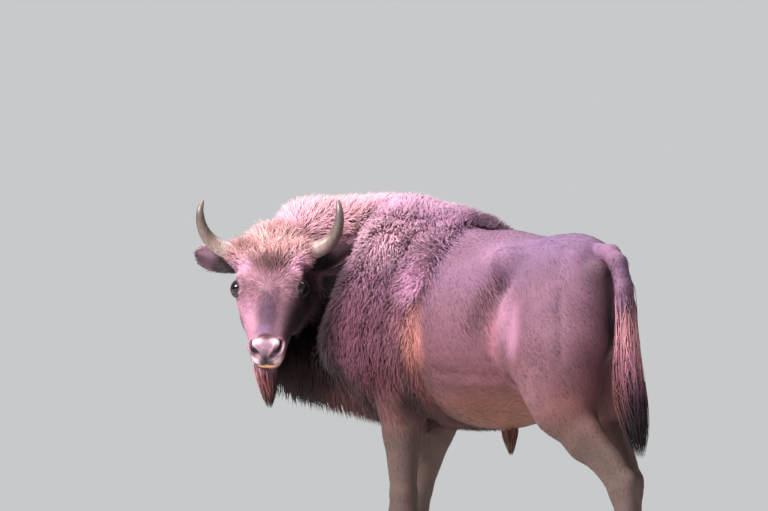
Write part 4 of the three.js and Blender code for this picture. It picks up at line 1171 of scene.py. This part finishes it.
def grow_coat(roots):
    """The whole coat but for the hanging locks, as classes of tufts with the same number of stations. Each
    class is the tufts' pieces, lines, half widths, ways across, colours, UVs and the skin's normals."""
    p, n, uv = roots
    q = to_head(p)
    a = np.abs(q[:, 1])
    t = lie(p, n)
    depth = coat_depth(p)
    head = smooth_step(40, 15, skull(p, 0.0))
    poll = head * smooth_step(-14, -80, q[:, 0] + 0.35 * a) * smooth_step(-100, -60, q[:, 2])
    face = head * smooth_step(-110, -30, q[:, 0] + 0.2 * a)
    ear = near_ear(p)
    woolly = smooth_step(26, 40, depth) * (1 - head)
    crest = smooth_step(0.35, 0.75, n[:, 2]) * smooth_step(24, 36, depth) * (1 - head)
    short = smooth_step(26, 14, depth) * (1 - head)
    share, across, _ = ear_place(p)
    on_ear = (share >= 0).astype(float)
    length = 1.15 * depth + 10
    length = mixed(length, 8 + 15 * smooth_step(150, -10, q[:, 0]), face)
    curl = np.maximum(24 + 30 * smooth_step(-20, -110, q[:, 0]), 1.15 * depth)
    curl = curl * (1 - 0.35 * smooth_step(110, 140, a))
    length = np.minimum(mixed(length, curl, poll), 110 - 82 * ear)
    length = mixed(length, 12 + 14 * smooth_step(0.6, 1.0, np.abs(across)), on_ear)
    length = length * rng.uniform(0.8, 1.2, len(p))
    reach = (0.92 - 0.42 * short) * rng.uniform(0.6, 1.1, len(p)) * (1 - crest)
    reach = reach + rng.uniform(0.85, 1.2, len(p)) * crest
    rise = np.clip(reach * depth / length, 0.05, 0.96)
    rise = mixed(rise, rng.uniform(0.10, 0.30, len(p)), face)
    rise = mixed(rise, np.clip(rng.uniform(0.35, 0.95, len(p)) * depth / length, 0.15, 0.85), poll)
    rise = mixed(rise, rng.uniform(0.10, 0.40, len(p)), on_ear)
    by_eye = np.maximum(*(smooth_step(74, 46, from_eye(p, s)[0]) for s in (-1, 1)))
    by_eye = by_eye * smooth_step(98, 112, a)
    length, rise = length * (1 - 0.55 * by_eye), rise * (1 - 0.75 * by_eye)
    swing = 0.16 + 0.14 * woolly
    bend = rng.normal(0, 1, len(p)) * swing + (0.25 + 0.3 * woolly) * mottle(p, 26)
    bend = bend + poll * (rng.uniform(-1.2, 1.2, len(p)) + 1.3 * mottle(p, 13))
    droop = np.clip((length - 60) / 70, 0, 1) * 1.1 * (1 - crest)
    wide = (0.60 + 0.022 * length) * rng.uniform(0.75, 1.25, len(p)) * (1 - 0.15 * poll - 0.1 * face)
    jitter = rng.normal(0, 1, (len(p), 1)) * (0.11 - 0.02 * short + 0.20 * head)[:, None]
    rgb = markings(p) * np.exp(jitter + rng.normal(0, 0.03, (len(p), 3)))
    name = regions(p, (skull(p, 0.0) < 34) | (share >= 0))
    count = np.where(poll > 0.5, 5, np.where(length < LONG_HAIR, 3, 4))
    grown = []
    for stations in (3, 4, 5):
        i = np.flatnonzero(count == stations)
        line, side = tuft_lines(p[i], n[i], t[i], length[i], rise[i], stations, bend[i], droop[i], short[i])
        profile = np.interp(np.linspace(0, 1, stations), (0, 0.4, 1), (0.85, 1.0, 0.35))
        grown.append((name[i], line, wide[i, None] * profile, side, rgb[i], uv[i], n[i]))
    return grown


def regions(p, on_the_head):
    """The name of the coat piece that each root belongs to."""
    x, y, z = p.T
    side = np.where(straight(p)[:, 1] < 0, "left", "right")
    neck = np.where(y < -110, "coat_neck_left", "coat_neck_right")
    parts = ["coat_shoulder_", "coat_chest_", "coat_barrel_"]
    trunk = np.select([x < -250, x < 60, x < 400], parts, "coat_rump_")
    name = np.where(x < -560, neck, np.char.add(trunk, side))
    name = np.where(z < 740, np.where(x < 200, "coat_forelegs", "coat_hindlegs"), name)
    name = np.where((x > 838) & (np.abs(y - TAIL_Y) < 50) & (z > 800), "coat_tail", name)
    half = np.where(to_head(p)[:, 1] < 0, "coat_head_left", "coat_head_right")
    return np.where(on_the_head, half, name)


BEARD_AT = (192, 0, -140)  # where the beard leaves the chin, in the head's frame
# bundles of locks from the bottom up: z, x, y and the half widths along and across
BEARD = [(-186, 28, -16, 8, 9), (-160, 25, -18, 19, 22), (-118, 20, -18, 31, 35), (-75, 10, -18, 38, 42),
         (-30, -2, -16, 42, 48), (12, -8, -8, 38, 44)]
TAIL_HAIR = [(664, 966, 70, 16, 14), (750, 948, 66, 44, 40), (850, 926, 60, 58, 54), (930, 916, 57, 56, 52),
             (1010, 908, 56, 47, 45), (1100, 904, 56, 37, 37), (1200, 899, 55, 34, 34),
             (1270, 886, 54, 33, 33), (1340, 850, 54, 32, 32)]
SHEATH_HAIR = [(664, 238, 0, 6, 6), (705, 233, 0, 20, 18), (752, 228, 0, 34, 30), (800, 225, 0, 36, 32)]


def hanging(rows, count, roots, lowest, stations, along):
    """Locks that hang inside a tapered bundle, and the way across each. Every lock keeps its own bearing and
    its own share of the width. It starts between the two heights of roots, near the bundle's middle, and
    ends between the two heights of lowest. The bundle's first half width is along `along`."""
    bearing = rng.uniform(0, 2 * math.pi, count)
    share = 0.25 + 0.72 * np.sqrt(rng.random(count))
    start = rng.uniform(*roots, count)
    end = np.minimum(lowest[0] + (lowest[1] - lowest[0]) * rng.random(count) ** 1.2, start - 60)
    t = np.linspace(0, 1, stations)
    z = start[:, None] + (end - start)[:, None] * t
    at = curve(rows, z.ravel()).reshape(count, stations, 5)
    spread = share[:, None] * (0.45 + 0.55 * smooth_step(0, 0.3, t)) * rng.uniform(0.8, 1.15, (count, 1))
    swing = bearing[:, None] + rng.normal(0, 0.45, (count, 1)) * np.sin(3 * t + rng.uniform(0, 6, (count, 1)))
    c, s = np.cos(swing) * spread * at[..., 3], np.sin(swing) * spread * at[..., 4]
    x = at[..., 1] + c * along[0] - s * along[1]
    y = at[..., 2] + c * along[1] + s * along[0]
    side = np.stack([-np.sin(bearing), np.cos(bearing), 0 * bearing], 1)
    return np.stack([x, y, z], -1), side


def tuft_arrays(line, wide, side, rgb, uv, up, look=None):
    """Joined tufts: points, triangles, colours, UV of the corners, normals. Each tuft is a three-sided spike
    along its own line of points: rings of half width `wide` across `side`, thinner the other way, that end
    in one point. line is tufts by stations by 3. rgb is one colour for a tuft or one for a station. The
    normals lean towards up, that of the skin below, so that the coat is lit as one soft surface."""
    count, stations, _ = line.shape
    root_shade, tip_shade, thick, soft = look or LOOKS[stations]
    rings = stations - 1
    ahead = unit(np.gradient(line, axis=1))
    across = unit(side[:, None] - ahead * (ahead * side[:, None]).sum(2, keepdims=True))
    out = np.cross(ahead, across)
    c = np.cos(ROUND)[:, None] * across[:, :rings, None]
    s = np.sin(ROUND)[:, None] * out[:, :rings, None]
    ring = (c + thick * s) * wide[:, :rings, None, None]
    body = (line[:, :rings, None] + ring).reshape(count, rings * 3, 3)
    points = np.concatenate([body, line[:, -1:]], 1)
    way = np.concatenate([(c + s).reshape(count, rings * 3, 3), ahead[:, -1:]], 1)
    normals = unit(soft * up[:, None] + (1 - soft) * way)
    each = rings * 3 + 1
    tip = [[each - 4 + j, each - 4 + (j + 1) % 3, each - 1] for j in range(3)]
    pattern = np.concatenate([[[2, 1, 0]], halves(grid_faces(rings, 3)), tip])
    faces = (pattern[None] + each * np.arange(count)[:, None, None]).reshape(-1, 3)
    at = np.concatenate([np.repeat(np.linspace(0, 1, stations)[:rings], 3), [1.0]])
    # each tuft darker towards its root: painted shade deep in the coat
    tone = root_shade + (tip_shade - root_shade) * at ** 0.8
    if rgb.ndim == 3:
        own = rgb[:, np.append(np.repeat(np.arange(rings), 3), rings)]
    else:
        own = rgb[:, None]
    tint = (own * tone[None, :, None]).reshape(-1, 3)
    turn = np.arange(each) * 2.4
    spot = np.stack([np.cos(turn), np.sin(turn)], 1) * PATCH / 2
    corner = (uv[:, None] + spot[None]).reshape(-1, 2)[faces.ravel()]
    return points.reshape(-1, 3), faces, tint, corner, normals.reshape(-1, 3)


def coat_piece(name, parts, material):
    """One mesh from several classes of tufts."""
    piece = put_mesh(name, *joined(parts))
    piece.data.normals_split_custom_set_from_vertices(np.concatenate([part[4] for part in parts]))
    set_tint(piece, np.concatenate([part[2] for part in parts]))
    layer = piece.data.uv_layers.new(name="OFBake")
    layer.data.foreach_set("uv", np.concatenate([part[3] for part in parts]).astype(np.float32).ravel())
    dress(piece, material)
    return piece


def root_uv(line, points, triangles, uv):
    """The unwrap's place of the skin point nearest to each lock's root."""
    centre = points[triangles].mean(1)
    tree = KDTree(len(centre))
    for i, place in enumerate(centre):
        tree.insert(place, i)
    tree.balance()
    near = [tree.find(place)[1] for place in line[:, 0]]
    return uv[near].mean(1)


def lock_piece(name, line, side, half, uv, material):
    """Hanging locks as one coat piece."""
    count, stations, _ = line.shape
    wide = half * rng.uniform(0.7, 1.3, (count, 1))
    wide = wide * np.interp(np.linspace(0, 1, stations), (0, 0.35, 1), (0.7, 1, 0.25))
    rgb = markings(line.reshape(-1, 3)).reshape(count, stations, 3)
    rgb = rgb * np.exp(rng.normal(0, 0.38, (count, 1, 1)) + rng.normal(0, 0.08, (count, 1, 3)))
    middle = line[:, stations // 2]
    up = unit((middle - middle.mean(0)) * vec(1, 1, 0))
    return coat_piece(name, [tuft_arrays(line, wide, side, rgb, uv, up, LOCK_LOOK)], material)


# ---- horns, hooves and eyes ----------------------------------------------------------------------

def outward(points, triangles):
    """The triangles, turned round where the closed shape that they bound is inside out."""
    a, b, c = points[triangles[:, 0]], points[triangles[:, 1]], points[triangles[:, 2]]
    return triangles if (a * np.cross(b, c)).sum() > 0 else triangles[:, ::-1]


def capped(grid, tips):
    """A closed shape from rings of points, with a pole at each end and its triangles facing outwards."""
    rows, columns, _ = grid.shape
    points, faces = close_ends(grid.reshape(-1, 3), grid_faces(rows, columns), rows, columns, tips)
    return points, outward(points - points.mean(0), faces)


def tube(centre, half, deep, side, count):
    """A closed tube: an ellipse of half widths half along side and deep across it, carried along centre."""
    along = unit(np.gradient(centre, axis=0))
    across = unit(side - along * (along * side).sum(-1, keepdims=True))
    up = np.cross(along, across)
    ring = around(circle(count), (across * half[:, None])[:, None], (up * deep[:, None])[:, None])
    return capped(centre[:, None] + ring, [centre[0], centre[-1]])


HORN_ROWS, HORN_ROUND = 110, 40
EYE_ROWS, EYE_ROUND = 44, 48


def make_horn(name, s, material):
    """A horn along its curve. It swells at the root, where low rings circle it, and ends in a blunt tip."""
    t = np.linspace(0, 1, HORN_ROWS)
    rows = curve([(i, *row) for i, row in enumerate(HORN)], t * (len(HORN) - 1))[:, 1:]
    centre = on_head(rows[:, :3] * vec(1, s, 1))
    length = np.concatenate([[0], np.cumsum(np.linalg.norm(np.diff(centre, axis=0), axis=1))])
    rings = 0.022 * np.sin(length / 11 * 2 * math.pi + np.sin(length / 23)) * smooth_step(0.5, 0.12, t)
    swell = 1 + rings + 0.05 * smooth_step(0.2, 0, t)
    blunt = np.sqrt(np.clip((1.0 - t) / 0.035, 0, 1))
    radius = rows[:, 3] * swell * np.where(t > 0.965, np.maximum(blunt, 0.05), 1)
    piece = put_mesh(name, *tube(centre, radius, radius * 0.95, U, HORN_ROUND))
    set_values(piece, "grown", np.append(np.repeat(t, HORN_ROUND), [0, 1]))
    dress(piece, material)
    return piece


CLAWS = {"front": (122, 54), "hind": (114, 50)}  # length and width of one claw at the ground
WALL_ANGLE = math.radians(57)
CLAW_GAP = 4.0


def claw(x, y, s, long, wide):
    """One claw: D-shaped rings from the ground up. The toe leans back at the angle of the wall, the outer
    side bows out as a power of a sine, and the ground edge is rounded under."""
    z = np.array([0, 1.2, 4, 10, 18, 27, 37, 47, 57, 66, 73, HOOF_TOP])
    swell = np.interp(z, (0, 24, 72, HOOF_TOP), (1, 1, 0.86, 0.8))
    tuck = np.interp(z, (0, 1.2, 4), (0.965, 0.985, 1.0))
    front = x - long / 2 * tuck + z / math.tan(WALL_ANGLE)
    back = x + long / 2 * tuck + z * 0.12
    a = np.linspace(0.06, math.pi - 0.06, 26)
    u = (1 - np.cos(a)) / 2
    bow = np.sin(a) ** 0.7 * wide * (0.8 + 0.2 * u)
    outer_x = front[:, None] + (back - front)[:, None] * u
    outer_y = y + s * (CLAW_GAP + bow * (swell * tuck)[:, None])
    inner_u = np.linspace(0.96, 0.05, 8)
    inner_x = front[:, None] + (back - front)[:, None] * inner_u
    hollow = 3.0 * np.sin(np.linspace(0, math.pi, 8))
    inner_y = np.broadcast_to(y + s * (CLAW_GAP + hollow), inner_x.shape)
    gx, gy = np.concatenate([outer_x, inner_x], 1), np.concatenate([outer_y, inner_y], 1)
    gz = np.broadcast_to(z[:, None], gx.shape)
    points = np.stack([gx, gy, gz], -1)
    return capped(points, [points[0].mean(0), points[-1].mean(0)])


def dewclaw(chain, s):
    """A small blunt claw behind the fetlock, as a tube through three places."""
    fx, fy, _ = chain[-2][0]
    t = np.linspace(0, 2, 16)
    rows = curve([(0, fx + 12, fy + s * 14, 170, 13, 14), (1, fx + 42, fy + s * 20, 148, 17, 16),
                  (2, fx + 52, fy + s * 23, 122, 9, 8)], t)[:, 1:]
    round_off = np.sqrt(np.clip(t[::-1] / 0.5 + 0.1, 0, 1))
    return tube(rows[:, :3], rows[:, 3] * round_off, rows[:, 4] * round_off, vec(0, 1, 0), 22)


def make_feet(material):
    """All claws as one piece and all dewclaws as another."""
    claws, dewclaws = [], []
    for name, ((x, y), chain) in LEGS.items():
        for s in (-1, 1):
            claws.append(claw(x, y, s, *CLAWS[name.split("_")[0]]))
            dewclaws.append(dewclaw(chain, s))
    for name, shells, word in (("hooves", claws, "hoof"), ("dewclaws", dewclaws, "dewclaw")):
        piece = put_mesh(name, *joined(shells))
        dress(piece, material)
        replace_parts(piece, *[f"{leg}_{word}_{side}" for leg in LEGS for side in ("left", "right")])


def make_eye(name, s, material):
    """An eyeball as rings about its axis, with a low bulge of the cornea. Its attribute holds the place on
    the iris: along the face and up the brow, as shares of the radius."""
    centre, axis, along, brow = eye_frame(s)
    angle = np.linspace(0.02, math.pi - 0.02, EYE_ROWS)
    radius = EYE_RADIUS * (1 + 0.05 * bell(angle, 0.5))
    way = around(angle[:, None], axis, around(circle(EYE_ROUND), along, brow))
    poles = [centre + axis * radius[0], centre - axis * radius[-1]]
    points, faces = capped(centre + radius[:, None, None] * way, poles)
    piece = put_mesh(name, points, faces)
    away = (points - centre) / EYE_RADIUS
    place = np.stack([away @ along, away @ brow, away @ axis], 1)
    set_values(piece, "place", place, "FLOAT_VECTOR", "vector")
    dress(piece, material)
    return piece


# ---- materials -----------------------------------------------------------------------------------

class Wire:
    """One socket of a material's nodes. Arithmetic on it adds Math nodes."""

    def __init__(self, tree, socket=None):
        self.tree, self.socket = tree, socket

    def node(self, kind, settings=None, inputs=None, output=0):
        """Adds a node of that kind, makes its settings and then its inputs, and gives one of its outputs. The
        stops of a ramp are pairs of position and colour."""
        made = self.tree.nodes.new(kind)
        for key, value in (settings or {}).items():
            if key == "stops":
                elements = made.color_ramp.elements
                for position, colour in value[1:-1]:
                    elements.new(position).color = (*colour, 1)
                for element, (position, colour) in ((elements[0], value[0]), (elements[-1], value[-1])):
                    element.position, element.color = position, (*colour, 1)
            else:
                setattr(made, key, value)
        for key, value in (inputs or {}).items():
            if isinstance(value, Wire):
                self.tree.links.new(value.socket, made.inputs[key])
            else:
                made.inputs[key].default_value = value
        return Wire(self.tree, made.outputs[output])

    def math(self, operation, *values):
        return self.node("ShaderNodeMath", {"operation": operation}, dict(enumerate(values)))

    def read(self, name, output="Fac"):
        """An attribute of the mesh."""
        return self.node("ShaderNodeAttribute", {"attribute_name": name}, output=output)

    def place(self):
        """The object's own coordinates, in metres."""
        return self.node("ShaderNodeTexCoord", output="Object")

    def bump(self, strength, distance):
        """The normal bumped by this height."""
        inputs = {"Strength": strength, "Distance": distance, "Height": self}
        return self.node("ShaderNodeBump", inputs=inputs)

    def __add__(self, other):
        return self.math("ADD", self, other)

    def __sub__(self, other):
        return self.math("SUBTRACT", self, other)

    def __rsub__(self, other):
        return self.math("SUBTRACT", other, self)

    def __mul__(self, other):
        return self.math("MULTIPLY", self, other)

    __radd__, __rmul__ = __add__, __mul__

    def step(self, lo, hi):
        """0 to 1 as the value goes from lo to hi."""
        return self.node("ShaderNodeMapRange", {"interpolation_type": "SMOOTHSTEP"},
                         {"Value": self, "From Min": lo, "From Max": hi})

    def mix(self, a, b, how="MIX"):
        """a to b as this value goes from 0 to 1; colours are tuples or wires."""
        a, b = (v if isinstance(v, Wire) else (*v, 1) for v in (a, b))
        settings = {"data_type": "RGBA", "blend_type": how}
        return self.node("ShaderNodeMix", settings, {0: self, 6: a, 7: b}, 2)

    def noise(self, scale, detail=3.0, where=None, stretch=None):
        """Noise on the object's own coordinates, or on another vector, with cells longer along one axis."""
        place = where or self.place()
        if stretch:
            place = self.node("ShaderNodeMapping", inputs={"Vector": place, "Scale": stretch})
        return self.node("ShaderNodeTexNoise", inputs={"Vector": place, "Scale": scale, "Detail": detail})


def material(name, build, **constants):
    """A Principled material. build(wire) gives the links of its varying sockets by name; constants are set
    on the shader's own sockets."""
    made = bpy.data.materials.new(name)
    made.use_nodes = True
    shader = made.node_tree.nodes["Principled BSDF"]
    for key, value in constants.items():
        shader.inputs[key.replace("_", " ")].default_value = value
    for key, value in build(Wire(made.node_tree)).items():
        made.node_tree.links.new(value.socket, shader.inputs[key])
    return made


def hair_finish(wire):
    """The tuft's own colour, varied a little from place to place."""
    patchy = wire.noise(34.0, 4.0)
    return {"Base Color": (patchy * 0.5).mix(wire.read("tint", "Color"), (0.55, 0.45, 0.45), "MULTIPLY")}


def skin_finish(wire):
    """Short flat hair: the colour of the coat with fine streaks. On the nose pad, moist leather."""
    naked = wire.read("bare")
    streak = wire.noise(420.0, 3.0, stretch=(1.0, 1.0, 0.25))
    inputs = {"Vector": wire.place(), "Scale": 260.0}
    cells = wire.node("ShaderNodeTexVoronoi", {"feature": "DISTANCE_TO_EDGE"}, inputs)
    height = streak * (1 - naked) * 0.9 + cells.step(0.0, 0.16) * naked * 0.8
    colour = ((streak - 0.5) * 1.2 + 0.3).mix(wire.read("tint", "Color"), (0.42, 0.36, 0.36), "MULTIPLY")
    return {"Base Color": colour, "Roughness": 0.78 - naked * 0.42, "Normal": height.bump(0.5, 0.0016)}


def horn_finish(wire):
    """Pale at the root, dark along the bend, paler at the tip, with fine grain and with rings at the root."""
    grown = wire.read("grown")
    grain = wire.noise(90.0, 5.0, stretch=(1.0, 1.0, 0.35))
    spots = wire.noise(25.0, 4.0)
    stops = [(0.0, (0.30, 0.190, 0.200)), (0.30, (0.170, 0.112, 0.100)), (0.50, (0.078, 0.054, 0.040)),
             (0.74, (0.055, 0.041, 0.034)), (0.90, (0.075, 0.054, 0.047)), (1.0, (0.19, 0.135, 0.125))]
    along = grown + (spots - 0.5) * 0.16
    base = wire.node("ShaderNodeValToRGB", {"stops": stops}, {"Fac": along})
    colour = grain.step(0.42, 0.70).mix(base, (0.62, 0.58, 0.56), "MULTIPLY")
    rings = wire.math("SINE", grown * 210.0 + spots * 5.0)
    height = rings * (1 - grown.step(0.25, 0.65)) * 0.5 + grain
    return {"Base Color": colour, "Roughness": 0.34 + grain * 0.28, "Normal": height.bump(0.45, 0.0012)}


def hoof_finish(wire):
    """Dark horn with growth rings round the wall and worn, dusty ground edges."""
    high = wire.node("ShaderNodeSeparateXYZ", inputs={0: wire.place()}, output=2)
    wander = wire.noise(30.0, 4.0)
    rings = wire.math("SINE", high * 900.0 + wander * 6.0)
    dust = (1 - high.step(0.0, 0.03)) * wander.step(0.35, 0.7)
    dark = wander.mix((0.022, 0.017, 0.016), (0.070, 0.052, 0.046))
    colour = (dust * 0.7).mix(dark, (0.20, 0.165, 0.14))
    bump = (rings * 0.4 + wander).bump(0.5, 0.0012)
    return {"Base Color": colour, "Roughness": 0.42 + dust * 0.4, "Normal": bump}


def eye_finish(wire):
    """A dark brown iris round a wide, level pupil, with a brown rim, and a paler back of the ball."""
    place = wire.read("place", "Vector")
    along, up, ahead = (wire.node("ShaderNodeSeparateXYZ", inputs={0: place}, output=i) for i in range(3))
    pupil = wire.math("SQRT", along * along * 3.2 + up * up * 13.0)
    off = wire.math("SQRT", along * along + up * up)
    iris = wire.noise(9.0, 4.0, where=place).mix((0.004, 0.002, 0.002), (0.014, 0.007, 0.005))
    rimmed = off.step(0.80, 0.93).mix(iris, (0.015, 0.010, 0.010))
    colour = (1 - pupil.step(0.92, 1.10)).mix(rimmed, (0.004, 0.004, 0.005))
    return {"Base Color": (1 - ahead.step(-0.2, 0.2)).mix(colour, (0.10, 0.07, 0.07))}


def floor_finish(wire):
    """Pale studio floor that fades out far from the animal."""
    away = wire.node("ShaderNodeVectorMath", {"operation": "LENGTH"}, {0: wire.place()}, output=1)
    colour = wire.noise(3.0, 3.0).mix((0.66, 0.66, 0.65), (0.72, 0.72, 0.71))
    return {"Base Color": colour, "Alpha": 1 - away.step(5.0, 11.0)}


# ---- the pieces ----------------------------------------------------------------------------------
HEAD_MASSES = head_masses()
MASSES = trunk_masses() + neck_masses() + leg_masses() + joint_masses() + dock_masses() + HEAD_MASSES
FLESH = ["neck", "forequarters", "barrel", "rump", "thigh_left", "thigh_right", "head", "lower_jaw", "muzzle",
         "ear_left", "ear_right", "tail"]
FLESH += [f"front_{side}_{part}" for side in ("left", "right") for part in ("forearm", "cannon", "pastern")]
FLESH += [f"hind_{side}_{part}" for side in ("left", "right") for part in ("shank", "cannon", "pastern")]

hair = material("hair", hair_finish, Roughness=0.80, Specular_IOR_Level=0.10, Sheen_Weight=0.03,
                Sheen_Roughness=0.5)
hide = material("hide", skin_finish, Specular_IOR_Level=0.25)
horn = material("horn", horn_finish, Specular_IOR_Level=0.45)
hoof = material("hoof", hoof_finish, Specular_IOR_Level=0.4)
eye = material("eye", eye_finish, Roughness=0.10, Specular_IOR_Level=0.18, Coat_Weight=0.05,
               Coat_Roughness=0.03)

skin, skin_points, skin_triangles, skin_normals, skin_uv = make_skin()
set_tint(skin, skin_markings(skin_points))
set_values(skin, "bare", nose_pad(to_head(skin_points)) * smooth_step(40, 20, skull(skin_points, 0.0)))
dress(skin, hide)
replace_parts(skin, *FLESH)

for side, s in (("left", 1), ("right", -1)):
    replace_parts(make_horn(f"horn_of_{side}", s, horn), f"horn_{side}")
    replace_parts(make_eye(f"eyeball_{side}", s, eye), f"eye_{side}")
make_feet(hoof)

share = density(skin_points[skin_triangles].mean(1))
roots = sample_skin(skin_points, skin_triangles, skin_normals, skin_uv, share, BODY_TUFTS)
classes = grow_coat(roots)
for name in sorted(set(np.concatenate([names for names, *_ in classes]))):
    chosen = [(names == name, columns) for names, *columns in classes]
    parts = [tuft_arrays(*[column[of] for column in columns]) for of, columns in chosen if of.any()]
    coat_piece(str(name), parts, hair)

chin = on_head(BEARD_AT)
beard_rows = [(z + chin[2], x + chin[0], y + chin[1], a, b) for z, x, y, a, b in BEARD]
LOCKS = (
    # piece, node that it stands for, half width of a lock; then bundle, number of locks, heights of the
    # roots and of the tips, stations, and the way along the bundle
    ("beard_hair", "beard", 1.8,
     (beard_rows, 900, chin[2] + vec(2, 14), chin[2] + vec(-190, -45), 7, LEVEL[:2])),
    ("tail_hair", "tail_tuft", 2.3, (TAIL_HAIR, 2600, (960, 1335), (668, 1080), 8, (1, 0))),
    ("sheath_hair", "prepuce", 2.4, (SHEATH_HAIR, 260, (765, 795), (664, 720), 6, (1, 0))),
)
for name, node, half, bundle in LOCKS:
    line, side = hanging(*bundle)
    uv = root_uv(line, skin_points, skin_triangles, skin_uv)
    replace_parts(lock_piece(name, line, side, half, uv, hair), node)

# ---- floor, light and camera ---------------------------------------------------------------------
bpy.ops.mesh.primitive_circle_add(vertices=96, radius=12.0, fill_type="NGON")
floor = bpy.context.object
floor.name = "floor"
floor.data.materials.append(material("floor", floor_finish, Roughness=0.9, Specular_IOR_Level=0.2))

VIEW_AZIMUTH = math.radians(60)
VIEW_RIGHT = vec(math.cos(VIEW_AZIMUTH), math.sin(VIEW_AZIMUTH), 0)
VIEW_BACK = vec(math.sin(VIEW_AZIMUTH), -math.cos(VIEW_AZIMUTH), 0)
TARGET = vec(-0.183, -0.1176, 1.357)
CAMERA_AWAY, SIGHT = 25.0, 500.0  # metres
LENS, SENSOR = 336.3, 36.0  # millimetres


def lamp(name, right, back, high, size, watts, colour):
    """A square soft box that faces the animal's middle, placed to the view's right, towards its back, and
    upwards."""
    middle = vec(0, 0, 0.95)
    at = middle + VIEW_RIGHT * right + VIEW_BACK * back + vec(0, 0, high)
    data = bpy.data.lights.new(name, "AREA")
    data.size, data.energy, data.color = size, watts, colour
    box = bpy.data.objects.new(name, data)
    bpy.context.scene.collection.objects.link(box)
    box.rotation_euler = Vector(middle - at).to_track_quat("-Z", "Y").to_euler()
    box.location = at


lamp("key", -4.1, 2.7, 4.0, 2.2, 1650, (1.0, 0.96, 0.98))
lamp("top", 0.2, -1.6, 4.6, 3.0, 450, (0.98, 0.97, 1.0))
lamp("fill", 4.2, 3.5, 1.2, 3.0, 90, (0.94, 0.97, 1.0))

world = bpy.data.worlds.new("studio")
bpy.context.scene.world = world
world.use_nodes = True
air = Wire(world.node_tree)
seen = air.node("ShaderNodeLightPath", output="Is Camera Ray")
shown = world.node_tree.nodes["Background"]
shown.inputs["Color"].default_value = (0.80, 0.81, 0.82, 1)
world.node_tree.links.new((seen * 0.46 + 0.26).socket, shown.inputs["Strength"])
bpy.context.scene.view_settings.view_transform = "Standard"

camera = bpy.data.objects.new("camera", bpy.data.cameras.new("camera"))
bpy.context.scene.collection.objects.link(camera)
camera.location = TARGET + VIEW_BACK * CAMERA_AWAY
camera.rotation_euler = (math.pi / 2, 0, VIEW_AZIMUTH)
camera.data.lens, camera.data.sensor_width, camera.data.clip_end = LENS, SENSOR, SIGHT
bpy.context.scene.camera = camera
